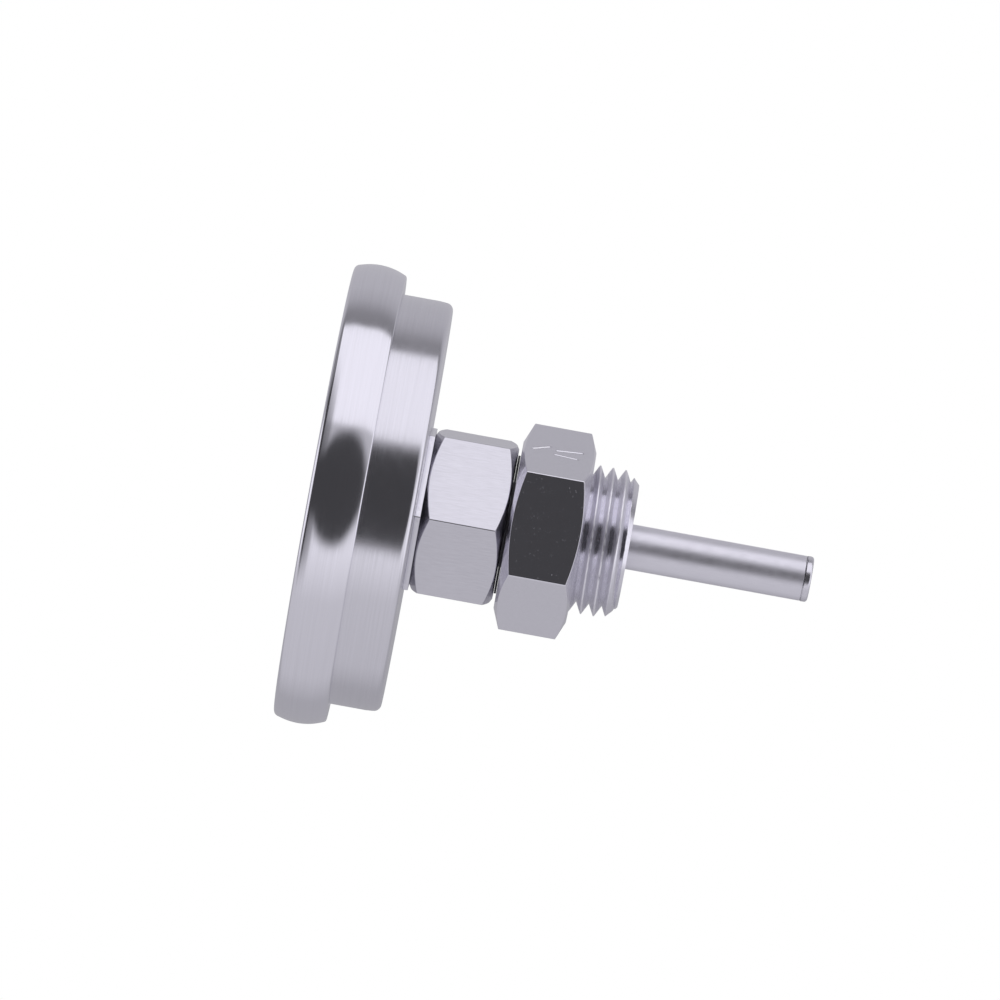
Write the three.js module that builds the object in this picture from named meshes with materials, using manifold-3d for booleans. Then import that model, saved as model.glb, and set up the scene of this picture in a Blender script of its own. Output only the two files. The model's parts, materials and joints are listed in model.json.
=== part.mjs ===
// Bimetal dial thermometer with a swivelling G1/2 union, for the wall of a kettle, still or fermenter.
// Units are millimetres. The dial faces -Y, the stem points along +Y, and 12 o'clock is +Z.
// The origin is the centre of the union's sealing face, where its thread meets its hex.

import * as THREE from 'three';
import { mergeVertices } from 'three/addons/utils/BufferGeometryUtils.js';
import Module from 'manifold-3d';

const wasm = await Module();
wasm.setup();

// ---------------------------------------------------------------- driving dimensions

// G1/2 pipe thread (ISO 228)
const THREAD_MAJOR_R = 20.955 / 2;
const THREAD_MINOR_R = 18.631 / 2;
const THREAD_PITCH = 25.4 / 14;
const THREAD_LENGTH = 6.7;
const THREAD_END_R = 8.7;
const THREAD_END_CHAMFER = 1.7;
const THREAD_FIRST_CREST_Y = 0.91;
const THREAD_CREST_WIDTH = 0.16;
const THREAD_CREST_R = 10.44;
const THREAD_COLLAR_LENGTH = 0.2;

// Lengths along the axis
const UNION_HEX_LENGTH = 10.3;
const SWIVEL_GAP = 0.4;
const NECK_HEX_LENGTH = 11.8;
const CASE_WASHER_THICKNESS = 0.8;
const CASE_SHOWING = 7.2;
const BEZEL_WIDTH = 7.4;
const STEM_LENGTH = 32.7;

// Across the axis
const UNION_ACROSS_FLATS = 25.4;
const UNION_TURN = THREE.MathUtils.degToRad(-2.1);
const NECK_ACROSS_FLATS = 22.225;
const NECK_TURN = THREE.MathUtils.degToRad(-24.6);
const BEZEL_R = 65.1 / 2;
const CASE_R = 58.15 / 2;
const CASE_WASHER_ACROSS_FLATS = 21.9;
const STEM_R = 6.35 / 2;
const STEM_WALL = 0.5;

// Sheet and edges
const SHEET = 0.8;
const CASE_CORNER_R = 1.5;
const BEZEL_WALL = 0.95;
const BEZEL_CROWN_R = 8.5;
const BEZEL_CROWN_FROM_FRONT = 3.5;
const BEZEL_EDGE = 0.3;

// The reading: 0 to 120 degrees over 270 degrees of dial, resting at 20
const SCALE_SWEEP = THREE.MathUtils.degToRad(270);
const SCALE_TOP = 120;
const REST_READING = 20;

// Clearances
const SEAT_CLEARANCE = 0.1;
const RUNNING_CLEARANCE = 0.09;

// Facets round the axis
const LARGE_FACETS = 48;
const MEDIUM_FACETS = 32;
const SMALL_FACETS = 16;
const THREAD_FACETS = 32;

// ---------------------------------------------------------------- places along the axis

const UNION_FRONT_Y = -UNION_HEX_LENGTH;
const NECK_SHOULDER_Y = UNION_FRONT_Y - SWIVEL_GAP;
const NECK_HEX_FRONT_Y = NECK_SHOULDER_Y - NECK_HEX_LENGTH;
const CASE_BACK_Y = NECK_HEX_FRONT_Y - CASE_WASHER_THICKNESS;
const CASE_FLOOR_Y = CASE_BACK_Y - SHEET;
const BEZEL_BACK_Y = CASE_BACK_Y - CASE_SHOWING;
const BEZEL_FRONT_Y = BEZEL_BACK_Y - BEZEL_WIDTH;

const LOCK_WASHER_FRONT_Y = CASE_FLOOR_Y - SHEET;
const LOCK_NUT_THICKNESS = 3;
const LOCK_NUT_FRONT_Y = LOCK_WASHER_FRONT_Y - LOCK_NUT_THICKNESS;
const NECK_FRONT_Y = LOCK_NUT_FRONT_Y - 0.5;

const WINDOW_THICKNESS = 2;
const WINDOW_FRONT_Y = BEZEL_FRONT_Y + SHEET + SEAT_CLEARANCE;
const WINDOW_BACK_Y = WINDOW_FRONT_Y + WINDOW_THICKNESS;
const GASKET_THICKNESS = 0.8;
const GASKET_BACK_Y = WINDOW_BACK_Y + GASKET_THICKNESS;
const FLANGE_BACK_Y = BEZEL_BACK_Y - SHEET;
const FLANGE_FRONT_Y = FLANGE_BACK_Y - SHEET;

const DIAL_THICKNESS = 0.5;
const DIAL_FRONT_Y = -31.9;
const DIAL_BACK_Y = DIAL_FRONT_Y + DIAL_THICKNESS;

const POINTER_THICKNESS = 0.4;
const POINTER_BACK_Y = DIAL_FRONT_Y - 1.3;
const POINTER_FRONT_Y = POINTER_BACK_Y - POINTER_THICKNESS;
const HUB_FRONT_Y = POINTER_FRONT_Y - 0.5;
const HUB_BACK_Y = POINTER_BACK_Y + 0.6;
const SPINDLE_FRONT_Y = HUB_FRONT_Y + 0.2;

const STEM_TIP_LENGTH = 1.1;
const STEM_WELD_Y = STEM_LENGTH - STEM_TIP_LENGTH;
const STEM_FRONT_Y = NECK_FRONT_Y - 0.4;
const HELIX_START_Y = 12.4;
const HELIX_TURNS = 10;
const HELIX_PITCH = 1.5;

// ---------------------------------------------------------------- radii inside

const WINDOW_OPENING_R = 28.6;
const BEZEL_INNER_R = BEZEL_R - BEZEL_WALL;
const PACKING_R = BEZEL_INNER_R - SEAT_CLEARANCE;
const BEZEL_INNER_CHAMFER = 1;
const FLANGE_R = PACKING_R - BEZEL_INNER_CHAMFER;
const CASE_INNER_R = CASE_R - SHEET;
const DIAL_R = CASE_INNER_R - 0.3;

const FRONT_SPIGOT_R = 6.5;
const REAR_SPIGOT_R = 6;
const REAR_SPIGOT_END_Y = 3.5;
const UNION_BORE_R = REAR_SPIGOT_R + RUNNING_CLEARANCE;
const UNION_BORE_END_Y = 4;
const UNION_NOSE_BORE_R = STEM_R + 0.15;
const O_RING_Y = 1.2;
const O_RING_SECTION_R = 0.54;
const O_RING_GROOVE_R = 4.9;
const O_RING_GROOVE_WIDTH = 1.5;
const SNAP_RING_Y = -3.5;
const SNAP_RING_SECTION_R = 0.4;
const SNAP_GROOVE_DEPTH = 0.5;
const SNAP_GROOVE_WIDTH = 1;

const STEM_INNER_R = STEM_R - STEM_WALL;
const SPINDLE_R = 0.65;
const BEARING_BORE_R = SPINDLE_R + RUNNING_CLEARANCE;
const BEARING_R = STEM_INNER_R - 0.06;

const POST_PLACE_R = 13;
const POST_R = 2;
const POINTER_LENGTH = 21.5;
const POINTER_TAIL = 8;
const STOP_PIN_PLACE_R = 16;

// ---------------------------------------------------------------- shapes

// A turned piece: its outline is points of [radius, y], run anticlockwise.
function turned(points, facets) {
  return new THREE.LatheGeometry(points.map(([r, y]) => new THREE.Vector2(r, y)), facets);
}

// A plain ring between two radii and two places along the axis.
function ring(innerR, outerR, frontY, backY, facets) {
  const outline = [
    [innerR, frontY],
    [outerR, frontY],
    [outerR, backY],
    [innerR, backY],
    [innerR, frontY],
  ];
  return turned(outline, facets);
}

// A plain disc or rod on the axis.
function rod(r, frontY, backY, facets) {
  return turned([[0, frontY], [r, frontY], [r, backY], [0, backY]], facets);
}

// Points on an arc round [r, y], from one angle to another in degrees; 0 points outward, 90 to +Y.
function arc(r, y, radius, fromDegrees, toDegrees, steps) {
  return Array.from({ length: steps + 1 }, (unused, i) => {
    const angle = THREE.MathUtils.degToRad(fromDegrees + ((toDegrees - fromDegrees) * i) / steps);
    return [r + radius * Math.cos(angle), y + radius * Math.sin(angle)];
  });
}

// A hexagonal bar along the axis.
function hexBar(acrossFlats, frontY, backY, turn) {
  const bar = new THREE.CylinderGeometry(
    acrossFlats / Math.sqrt(3), acrossFlats / Math.sqrt(3), backY - frontY, 6);
  bar.rotateY(turn);
  bar.translate(0, (frontY + backY) / 2, 0);
  return bar;
}

// What a lathe leaves of a hexagonal bar when it chamfers both ends.
// front and back each give the end face's radius and the chamfer's angle from that face in degrees.
function chamferEnvelope(acrossFlats, frontY, backY, front, back) {
  const outerR = acrossFlats / Math.sqrt(3) + 1;
  const depth = (end) => (outerR - end.r) * Math.tan(THREE.MathUtils.degToRad(end.angle));
  const outline = [
    [0, frontY],
    [front.r, frontY],
    [outerR, frontY + depth(front)],
    [outerR, backY - depth(back)],
    [back.r, backY],
    [0, backY],
  ];
  return turned(outline, LARGE_FACETS);
}

// A helix or a ring about the Y axis that carries a section whose x is radial and whose y is axial.
// It runs from its far end back towards -Y, and it is right-handed.
class AxialHelix extends THREE.Curve {
  constructor({ r, endY, pitch, turns, startAngle = 0 }) {
    super();
    Object.assign(this, { r, endY, pitch, turns, startAngle });
  }

  angle(t) {
    return this.startAngle - 2 * Math.PI * this.turns * t;
  }

  getPoint(t, target = new THREE.Vector3()) {
    const angle = this.angle(t);
    const y = this.endY - this.pitch * this.turns * t;
    return target.set(this.r * Math.sin(angle), y, this.r * Math.cos(angle));
  }

  computeFrenetFrames(segments) {
    const frames = { tangents: [], normals: [], binormals: [] };
    for (let i = 0; i <= segments; i += 1) {
      const angle = this.angle(i / segments);
      frames.normals.push(new THREE.Vector3(Math.sin(angle), 0, Math.cos(angle)));
      frames.binormals.push(new THREE.Vector3(0, 1, 0));
      frames.tangents.push(this.getTangent(i / segments));
    }
    return frames;
  }
}

// A section swept along an AxialHelix.
function sweptSection(section, path, steps) {
  return new THREE.ExtrudeGeometry(section, { extrudePath: path, steps, bevelEnabled: false });
}

// A regular polygon that stands for a round wire's section.
function wireSection(radius, sides) {
  const corners = Array.from({ length: sides }, (unused, i) => {
    const angle = (2 * Math.PI * (i + 0.5)) / sides;
    return new THREE.Vector2(radius * Math.cos(angle), radius * Math.sin(angle));
  });
  return new THREE.Shape(corners);
}

// A flat piece cut from sheet: shape.x is to the reader's right, shape.y is up, thick along Y.
function sheetPiece(shape, frontY, backY, curveSegments) {
  const depth = backY - frontY;
  const sheet = new THREE.ExtrudeGeometry(shape, { depth, curveSegments, bevelEnabled: false });
  sheet.rotateX(Math.PI / 2);
  sheet.translate(0, backY, 0);
  return sheet;
}

// ---------------------------------------------------------------- joining and cutting

function toSolid(geometry) {
  const bare = geometry.clone();
  bare.deleteAttribute('normal');
  bare.deleteAttribute('uv');
  const merged = mergeVertices(bare, 1e-4);
  const index = merged.index.array;
  const triangles = [];
  for (let i = 0; i < index.length; i += 3) {
    const [a, b, c] = index.subarray(i, i + 3);
    if (a !== b && b !== c && c !== a) triangles.push(a, b, c);
  }
  return new wasm.Manifold(new wasm.Mesh({
    numProp: 3,
    vertProperties: new Float32Array(merged.attributes.position.array),
    triVerts: new Uint32Array(triangles),
  }));
}

function toGeometry(solid) {
  const mesh = solid.getMesh();
  const geometry = new THREE.BufferGeometry();
  geometry.setAttribute('position', new THREE.BufferAttribute(mesh.vertProperties, 3));
  geometry.setIndex(new THREE.BufferAttribute(mesh.triVerts, 1));
  geometry.computeVertexNormals();
  return geometry;
}

// A chamfered hexagon as a solid.
function hexSolid(acrossFlats, frontY, backY, turn, front, back) {
  const bar = toSolid(hexBar(acrossFlats, frontY, backY, turn));
  return bar.intersect(toSolid(chamferEnvelope(acrossFlats, frontY, backY, front, back)));
}

// ---------------------------------------------------------------- case, bezel and window

// A drawn cup with a rolled-out flange at the mouth and a hole for the neck in its floor.
function caseCup() {
  const holeR = FRONT_SPIGOT_R + SEAT_CLEARANCE;
  const outerCorner = arc(CASE_R - CASE_CORNER_R, CASE_BACK_Y - CASE_CORNER_R, CASE_CORNER_R, 0, 90, 3);
  const innerCornerR = CASE_CORNER_R - SHEET;
  const innerCorner = arc(CASE_INNER_R - innerCornerR, CASE_FLOOR_Y - innerCornerR, innerCornerR, 90, 0, 1);
  const outline = [
    [FLANGE_R, FLANGE_FRONT_Y],
    [FLANGE_R, FLANGE_BACK_Y],
    [CASE_R, FLANGE_BACK_Y],
    ...outerCorner,
    [holeR, CASE_BACK_Y],
    [holeR, CASE_FLOOR_Y],
    ...innerCorner,
    [CASE_INNER_R, FLANGE_FRONT_Y],
    [FLANGE_R, FLANGE_FRONT_Y],
  ];
  return turned(outline, LARGE_FACETS);
}

// A C-shaped rim with a crowned wall, crimped behind the flange of the cup.
function bezelRing() {
  const crownY = BEZEL_FRONT_Y + BEZEL_CROWN_FROM_FRONT;
  const lean = (y) => THREE.MathUtils.radToDeg(Math.asin((y - crownY) / BEZEL_CROWN_R));
  const wall = arc(
    BEZEL_R - BEZEL_CROWN_R, crownY, BEZEL_CROWN_R,
    lean(BEZEL_FRONT_Y + BEZEL_EDGE), lean(BEZEL_BACK_Y - BEZEL_EDGE), 6);
  const lipR = CASE_R + SEAT_CLEARANCE;
  const outline = [
    [WINDOW_OPENING_R, BEZEL_FRONT_Y],
    [wall[0][0] - BEZEL_EDGE, BEZEL_FRONT_Y],
    ...wall,
    [wall.at(-1)[0] - BEZEL_EDGE, BEZEL_BACK_Y],
    [lipR, BEZEL_BACK_Y],
    [lipR, FLANGE_BACK_Y],
    [BEZEL_INNER_R - BEZEL_INNER_CHAMFER, FLANGE_BACK_Y],
    [BEZEL_INNER_R, FLANGE_BACK_Y - BEZEL_INNER_CHAMFER],
    [BEZEL_INNER_R, BEZEL_FRONT_Y + SHEET],
    [WINDOW_OPENING_R, BEZEL_FRONT_Y + SHEET],
    [WINDOW_OPENING_R, BEZEL_FRONT_Y],
  ];
  return turned(outline, LARGE_FACETS);
}

function windowGlass() {
  return rod(PACKING_R, WINDOW_FRONT_Y, WINDOW_BACK_Y, LARGE_FACETS);
}

function windowGasket() {
  return ring(WINDOW_OPENING_R + 0.6, PACKING_R, WINDOW_BACK_Y, GASKET_BACK_Y, LARGE_FACETS);
}

// The spacer between gasket and flange, sloping down to the dial.
function windowSeatRing() {
  const outline = [
    [WINDOW_OPENING_R, GASKET_BACK_Y],
    [PACKING_R, GASKET_BACK_Y],
    [PACKING_R, FLANGE_FRONT_Y - BEZEL_INNER_CHAMFER],
    [FLANGE_R, FLANGE_FRONT_Y],
    [CASE_INNER_R, FLANGE_FRONT_Y],
    [WINDOW_OPENING_R, GASKET_BACK_Y],
  ];
  return turned(outline, LARGE_FACETS);
}

// ---------------------------------------------------------------- dial and what holds it

function circleHole(x, y, r) {
  const hole = new THREE.Path();
  hole.absarc(x, y, r, 0, 2 * Math.PI, true);
  return hole;
}

const DIAL_CENTRE_HOLE_R = 1.6;
const DIAL_SCREW_R = 0.9;
const STOP_PIN_R = 0.5;

function dialPlate() {
  const disc = new THREE.Shape();
  disc.absarc(0, 0, DIAL_R, 0, 2 * Math.PI, false);
  disc.holes.push(
    circleHole(0, 0, DIAL_CENTRE_HOLE_R),
    circleHole(-POST_PLACE_R, 0, DIAL_SCREW_R + SEAT_CLEARANCE),
    circleHole(POST_PLACE_R, 0, DIAL_SCREW_R + SEAT_CLEARANCE),
    circleHole(0, -STOP_PIN_PLACE_R, STOP_PIN_R + SEAT_CLEARANCE),
  );
  return sheetPiece(disc, DIAL_FRONT_Y, DIAL_BACK_Y, SMALL_FACETS);
}

const SCREW_LENGTH = 3;

// A pan-head screw through the dial into its post.
function dialScrew(x) {
  const headR = 1.7;
  const headHeight = 0.7;
  const outline = [
    [0, DIAL_FRONT_Y - headHeight],
    [headR - 0.4, DIAL_FRONT_Y - headHeight],
    [headR, DIAL_FRONT_Y - headHeight + 0.4],
    [headR, DIAL_FRONT_Y],
    [DIAL_SCREW_R, DIAL_FRONT_Y],
    [DIAL_SCREW_R, DIAL_FRONT_Y + SCREW_LENGTH],
    [0, DIAL_FRONT_Y + SCREW_LENGTH],
  ];
  const slotDepth = 0.35;
  const slot = new THREE.BoxGeometry(2 * headR + 1, 2 * slotDepth, 0.45);
  slot.translate(0, DIAL_FRONT_Y - headHeight, 0);
  const screw = toGeometry(toSolid(turned(outline, SMALL_FACETS)).subtract(toSolid(slot)));
  screw.translate(x, 0, 0);
  return screw;
}

// A post riveted to the floor of the cup, with a blind hole for its screw.
function dialPost(x) {
  const holeR = DIAL_SCREW_R + SEAT_CLEARANCE;
  const holeEndY = DIAL_FRONT_Y + SCREW_LENGTH + 0.5;
  const outline = [
    [holeR, DIAL_BACK_Y],
    [POST_R, DIAL_BACK_Y],
    [POST_R, CASE_FLOOR_Y],
    [0, CASE_FLOOR_Y],
    [0, holeEndY],
    [holeR, holeEndY],
    [holeR, DIAL_BACK_Y],
  ];
  const post = turned(outline, SMALL_FACETS);
  post.translate(x, 0, 0);
  return post;
}

// The pin that the pointer meets past either end of its scale.
function stopPin() {
  const pinBackY = DIAL_BACK_Y + 0.3;
  const headR = 0.9;
  const outline = [
    [0, POINTER_FRONT_Y - 0.2],
    [STOP_PIN_R, POINTER_FRONT_Y - 0.2],
    [STOP_PIN_R, DIAL_BACK_Y],
    [headR, DIAL_BACK_Y],
    [headR, pinBackY],
    [0, pinBackY],
  ];
  const pin = turned(outline, SMALL_FACETS);
  pin.translate(0, 0, -STOP_PIN_PLACE_R);
  return pin;
}

// ---------------------------------------------------------------- neck and its fixing to the case

const NECK_BORE_R = STEM_R + SEAT_CLEARANCE;

// The fixed hex: a threaded spigot to the case, a plain one with two grooves to the union.
function neckHex() {
  const end = { r: 10.6, angle: 30 };
  const hex = hexSolid(NECK_ACROSS_FLATS, NECK_HEX_FRONT_Y, NECK_SHOULDER_Y, NECK_TURN, end, end);
  const snapFloorR = REAR_SPIGOT_R - SNAP_GROOVE_DEPTH;
  const middleY = (NECK_HEX_FRONT_Y + NECK_SHOULDER_Y) / 2;
  const spigots = turned([
    [0, NECK_FRONT_Y],
    [FRONT_SPIGOT_R - 0.5, NECK_FRONT_Y],
    [FRONT_SPIGOT_R, NECK_FRONT_Y + 0.5],
    [FRONT_SPIGOT_R, middleY],
    [REAR_SPIGOT_R, middleY],
    [REAR_SPIGOT_R, SNAP_RING_Y - SNAP_GROOVE_WIDTH / 2],
    [snapFloorR, SNAP_RING_Y - SNAP_GROOVE_WIDTH / 2],
    [snapFloorR, SNAP_RING_Y + SNAP_GROOVE_WIDTH / 2],
    [REAR_SPIGOT_R, SNAP_RING_Y + SNAP_GROOVE_WIDTH / 2],
    [REAR_SPIGOT_R, O_RING_Y - O_RING_GROOVE_WIDTH / 2],
    [O_RING_GROOVE_R, O_RING_Y - O_RING_GROOVE_WIDTH / 2],
    [O_RING_GROOVE_R, O_RING_Y + O_RING_GROOVE_WIDTH / 2],
    [REAR_SPIGOT_R, O_RING_Y + O_RING_GROOVE_WIDTH / 2],
    [REAR_SPIGOT_R, REAR_SPIGOT_END_Y - 0.5],
    [REAR_SPIGOT_R - 0.5, REAR_SPIGOT_END_Y],
    [0, REAR_SPIGOT_END_Y],
  ], MEDIUM_FACETS);
  const bore = rod(NECK_BORE_R, NECK_FRONT_Y - 1, REAR_SPIGOT_END_Y + 1, MEDIUM_FACETS);
  return toGeometry(hex.add(toSolid(spigots)).subtract(toSolid(bore)));
}

// The thin hexagonal washer between case and neck, its flats in line with the neck's.
function caseWasher() {
  const end = { r: CASE_WASHER_ACROSS_FLATS / Math.sqrt(3) - 0.35, angle: 30 };
  const hex = hexSolid(CASE_WASHER_ACROSS_FLATS, CASE_BACK_Y, NECK_HEX_FRONT_Y, NECK_TURN, end, end);
  const bore = rod(FRONT_SPIGOT_R + SEAT_CLEARANCE, CASE_BACK_Y - 1, NECK_HEX_FRONT_Y + 1, MEDIUM_FACETS);
  return toGeometry(hex.subtract(toSolid(bore)));
}

const LOCK_NUT_ACROSS_FLATS = 17;

// A split spring washer under the nut.
function lockWasher() {
  const innerR = FRONT_SPIGOT_R + SEAT_CLEARANCE;
  const outerR = LOCK_NUT_ACROSS_FLATS / 2;
  const halfSplit = THREE.MathUtils.degToRad(5);
  const outline = new THREE.Shape();
  outline.absarc(0, 0, outerR, halfSplit, 2 * Math.PI - halfSplit, false);
  outline.absarc(0, 0, innerR, 2 * Math.PI - halfSplit, halfSplit, true);
  outline.closePath();
  return sheetPiece(outline, LOCK_WASHER_FRONT_Y, CASE_FLOOR_Y, SMALL_FACETS);
}

function caseLockNut() {
  const end = { r: 8.2, angle: 30 };
  const hex = hexSolid(LOCK_NUT_ACROSS_FLATS, LOCK_NUT_FRONT_Y, LOCK_WASHER_FRONT_Y, 0, end, end);
  const boreR = FRONT_SPIGOT_R + SEAT_CLEARANCE;
  const bore = rod(boreR, LOCK_NUT_FRONT_Y - 1, LOCK_WASHER_FRONT_Y + 1, MEDIUM_FACETS);
  return toGeometry(hex.subtract(toSolid(bore)));
}

// ---------------------------------------------------------------- union

// A V-shaped ridge wound round the thread's core, long enough to run out of both ends.
function threadRidge() {
  const turns = 5;
  const rootR = THREAD_MINOR_R - 0.25;
  const flankHeight = THREAD_CREST_R - rootR;
  const rootHalf = THREAD_PITCH / 2 - 0.02;
  const crestHalf = THREAD_CREST_WIDTH / 2;
  const section = new THREE.Shape([
    new THREE.Vector2(0, -rootHalf),
    new THREE.Vector2(flankHeight, -crestHalf),
    new THREE.Vector2(flankHeight, crestHalf),
    new THREE.Vector2(0, rootHalf),
  ]);
  const firstCrest = THREAD_FIRST_CREST_Y - THREAD_PITCH;
  const path = new AxialHelix({
    r: rootR,
    endY: firstCrest + turns * THREAD_PITCH,
    pitch: THREAD_PITCH,
    turns,
  });
  return sweptSection(section, path, turns * THREAD_FACETS);
}

// The hex and the pipe thread in one piece, free to turn on the neck.
function unionFitting() {
  const front = { r: 11.8, angle: 22.5 };
  const back = { r: 12.05, angle: 22.5 };
  const hex = hexSolid(UNION_ACROSS_FLATS, UNION_FRONT_Y, 0, UNION_TURN, front, back);
  const core = toSolid(turned([
    [0, -1],
    [THREAD_MAJOR_R, -1],
    [THREAD_MAJOR_R, THREAD_COLLAR_LENGTH],
    [THREAD_MINOR_R, THREAD_COLLAR_LENGTH],
    [THREAD_MINOR_R, THREAD_LENGTH],
    [0, THREAD_LENGTH],
  ], THREAD_FACETS));
  const envelope = toSolid(turned([
    [0, -1],
    [THREAD_MAJOR_R, -1],
    [THREAD_MAJOR_R, THREAD_LENGTH - THREAD_END_CHAMFER],
    [THREAD_END_R, THREAD_LENGTH],
    [0, THREAD_LENGTH],
  ], THREAD_FACETS));
  const thread = core.add(toSolid(threadRidge())).intersect(envelope);
  const groove = UNION_BORE_R + SNAP_GROOVE_DEPTH;
  const bore = toSolid(turned([
    [0, UNION_FRONT_Y - 1],
    [UNION_BORE_R, UNION_FRONT_Y - 1],
    [UNION_BORE_R, SNAP_RING_Y - SNAP_GROOVE_WIDTH / 2],
    [groove, SNAP_RING_Y - SNAP_GROOVE_WIDTH / 2],
    [groove, SNAP_RING_Y + SNAP_GROOVE_WIDTH / 2],
    [UNION_BORE_R, SNAP_RING_Y + SNAP_GROOVE_WIDTH / 2],
    [UNION_BORE_R, UNION_BORE_END_Y],
    [UNION_NOSE_BORE_R, UNION_BORE_END_Y],
    [UNION_NOSE_BORE_R, THREAD_LENGTH + 1],
    [0, THREAD_LENGTH + 1],
  ], MEDIUM_FACETS));
  return toGeometry(hex.add(thread).subtract(bore));
}

// The seal between neck and union.
function unionORing() {
  const r = (O_RING_GROOVE_R + UNION_BORE_R) / 2;
  const oRing = new THREE.TorusGeometry(r, O_RING_SECTION_R, 8, MEDIUM_FACETS);
  oRing.rotateX(Math.PI / 2);
  oRing.translate(0, O_RING_Y, 0);
  return oRing;
}

// A split wire ring, half in the neck's groove and half in the union's, so the union can't slide off.
function unionSnapRing() {
  const path = new AxialHelix({
    r: REAR_SPIGOT_R + RUNNING_CLEARANCE / 2,
    endY: SNAP_RING_Y,
    pitch: 0,
    turns: 0.93,
  });
  return sweptSection(wireSection(SNAP_RING_SECTION_R, 8), path, 30);
}

// The low-friction washer in the gap between the two hexes.
function swivelWasher() {
  const play = 0.05;
  return ring(
    REAR_SPIGOT_R + SEAT_CLEARANCE, 9.8, NECK_SHOULDER_Y + play, UNION_FRONT_Y - play, MEDIUM_FACETS);
}

// ---------------------------------------------------------------- stem and its inside

function stemTube() {
  return ring(STEM_INNER_R, STEM_R, STEM_FRONT_Y, STEM_WELD_Y, MEDIUM_FACETS);
}

// The welded end of the stem: a rounded nose with a slight weld swell and a spigot in the tube.
function stemTipPlug() {
  const spigotR = STEM_INNER_R - 0.06;
  const spigotLength = 2;
  const noseR = 1;
  const nose = arc(STEM_R - noseR, STEM_LENGTH - noseR, noseR, 0, 90, 4);
  const outline = [
    [0, STEM_WELD_Y - spigotLength],
    [spigotR, STEM_WELD_Y - spigotLength],
    [spigotR, STEM_WELD_Y],
    [STEM_R, STEM_WELD_Y],
    ...nose,
    [0, STEM_LENGTH],
  ];
  return turned(outline, MEDIUM_FACETS);
}

// The bimetal strip, wound into a helix with its width along the axis.
function bimetalHelix() {
  const halfThickness = 0.15;
  const halfWidth = 0.45;
  const section = new THREE.Shape([
    new THREE.Vector2(-halfThickness, -halfWidth),
    new THREE.Vector2(halfThickness, -halfWidth),
    new THREE.Vector2(halfThickness, halfWidth),
    new THREE.Vector2(-halfThickness, halfWidth),
  ]);
  const path = new AxialHelix({
    r: 1.9,
    endY: HELIX_START_Y + HELIX_PITCH * HELIX_TURNS,
    pitch: HELIX_PITCH,
    turns: HELIX_TURNS,
  });
  return sweptSection(section, path, 12 * HELIX_TURNS);
}

const HELIX_END_MARGIN = 0.7;

// The lug that holds the helix's far end, on the tip plug.
function helixAnchor() {
  const discFrontY = HELIX_START_Y + HELIX_PITCH * HELIX_TURNS + HELIX_END_MARGIN;
  return rod(2.3, discFrontY, STEM_WELD_Y - 2, SMALL_FACETS);
}

// The collar that carries the helix's near end and turns the spindle.
function helixCollar() {
  const collarBackY = HELIX_START_Y - HELIX_END_MARGIN;
  return ring(SPINDLE_R + 0.05, 2.2, collarBackY - 1.5, collarBackY, SMALL_FACETS);
}

function spindle() {
  return rod(SPINDLE_R, SPINDLE_FRONT_Y, HELIX_START_Y - HELIX_END_MARGIN, SMALL_FACETS);
}

// A flanged bush in the mouth of the tube.
function upperBearingBush() {
  const flangeFrontY = STEM_FRONT_Y - 0.6;
  const outline = [
    [BEARING_BORE_R, flangeFrontY],
    [STEM_R, flangeFrontY],
    [STEM_R, STEM_FRONT_Y],
    [BEARING_R, STEM_FRONT_Y],
    [BEARING_R, STEM_FRONT_Y + 2.5],
    [BEARING_BORE_R, STEM_FRONT_Y + 2.5],
    [BEARING_BORE_R, flangeFrontY],
  ];
  return turned(outline, SMALL_FACETS);
}

// A plain bush half way down that keeps the spindle straight.
function midGuideBush() {
  return ring(BEARING_BORE_R, BEARING_R, -9, -7, SMALL_FACETS);
}

// ---------------------------------------------------------------- pointer

const POINTER_EYE_R = 1.2;

// The pointer: a long tapering hand, a round eye and a short broad tail, drawn pointing up.
function pointerPlate() {
  const tipHalf = 0.3;
  const rootHalf = 1;
  const tailHalf = 1.5;
  const eyeR = 2.6;
  const shoulder = Math.sqrt(eyeR ** 2 - rootHalf ** 2);
  const shoulderAngle = Math.asin(rootHalf / eyeR);
  const tailShoulder = Math.sqrt(eyeR ** 2 - tailHalf ** 2);
  const tailAngle = Math.asin(tailHalf / eyeR);
  const hand = new THREE.Shape();
  hand.moveTo(-tipHalf, POINTER_LENGTH - 1);
  hand.lineTo(-rootHalf, shoulder);
  hand.absarc(0, 0, eyeR, Math.PI / 2 + shoulderAngle, 1.5 * Math.PI - tailAngle, false);
  hand.lineTo(-tailHalf, -POINTER_TAIL);
  hand.lineTo(tailHalf, -POINTER_TAIL);
  hand.lineTo(tailHalf, -tailShoulder);
  hand.absarc(0, 0, eyeR, 1.5 * Math.PI + tailAngle, 2.5 * Math.PI - shoulderAngle, false);
  hand.lineTo(tipHalf, POINTER_LENGTH - 1);
  hand.lineTo(0, POINTER_LENGTH);
  hand.closePath();
  hand.holes.push(circleHole(0, 0, POINTER_EYE_R + SEAT_CLEARANCE));
  return sheetPiece(hand, POINTER_FRONT_Y, POINTER_BACK_Y, 6);
}

// The brass bush that the pointer is riveted to, pressed on the spindle.
function pointerHub() {
  const shoulderR = 2;
  const capR = POINTER_EYE_R;
  const bore = SPINDLE_R + 0.05;
  const outline = [
    [0, HUB_FRONT_Y],
    [capR, HUB_FRONT_Y],
    [capR, POINTER_BACK_Y],
    [shoulderR, POINTER_BACK_Y],
    [shoulderR, HUB_BACK_Y],
    [bore, HUB_BACK_Y],
    [bore, SPINDLE_FRONT_Y - 0.05],
    [0, SPINDLE_FRONT_Y - 0.05],
  ];
  return turned(outline, SMALL_FACETS);
}

// ---------------------------------------------------------------- assembly

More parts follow.
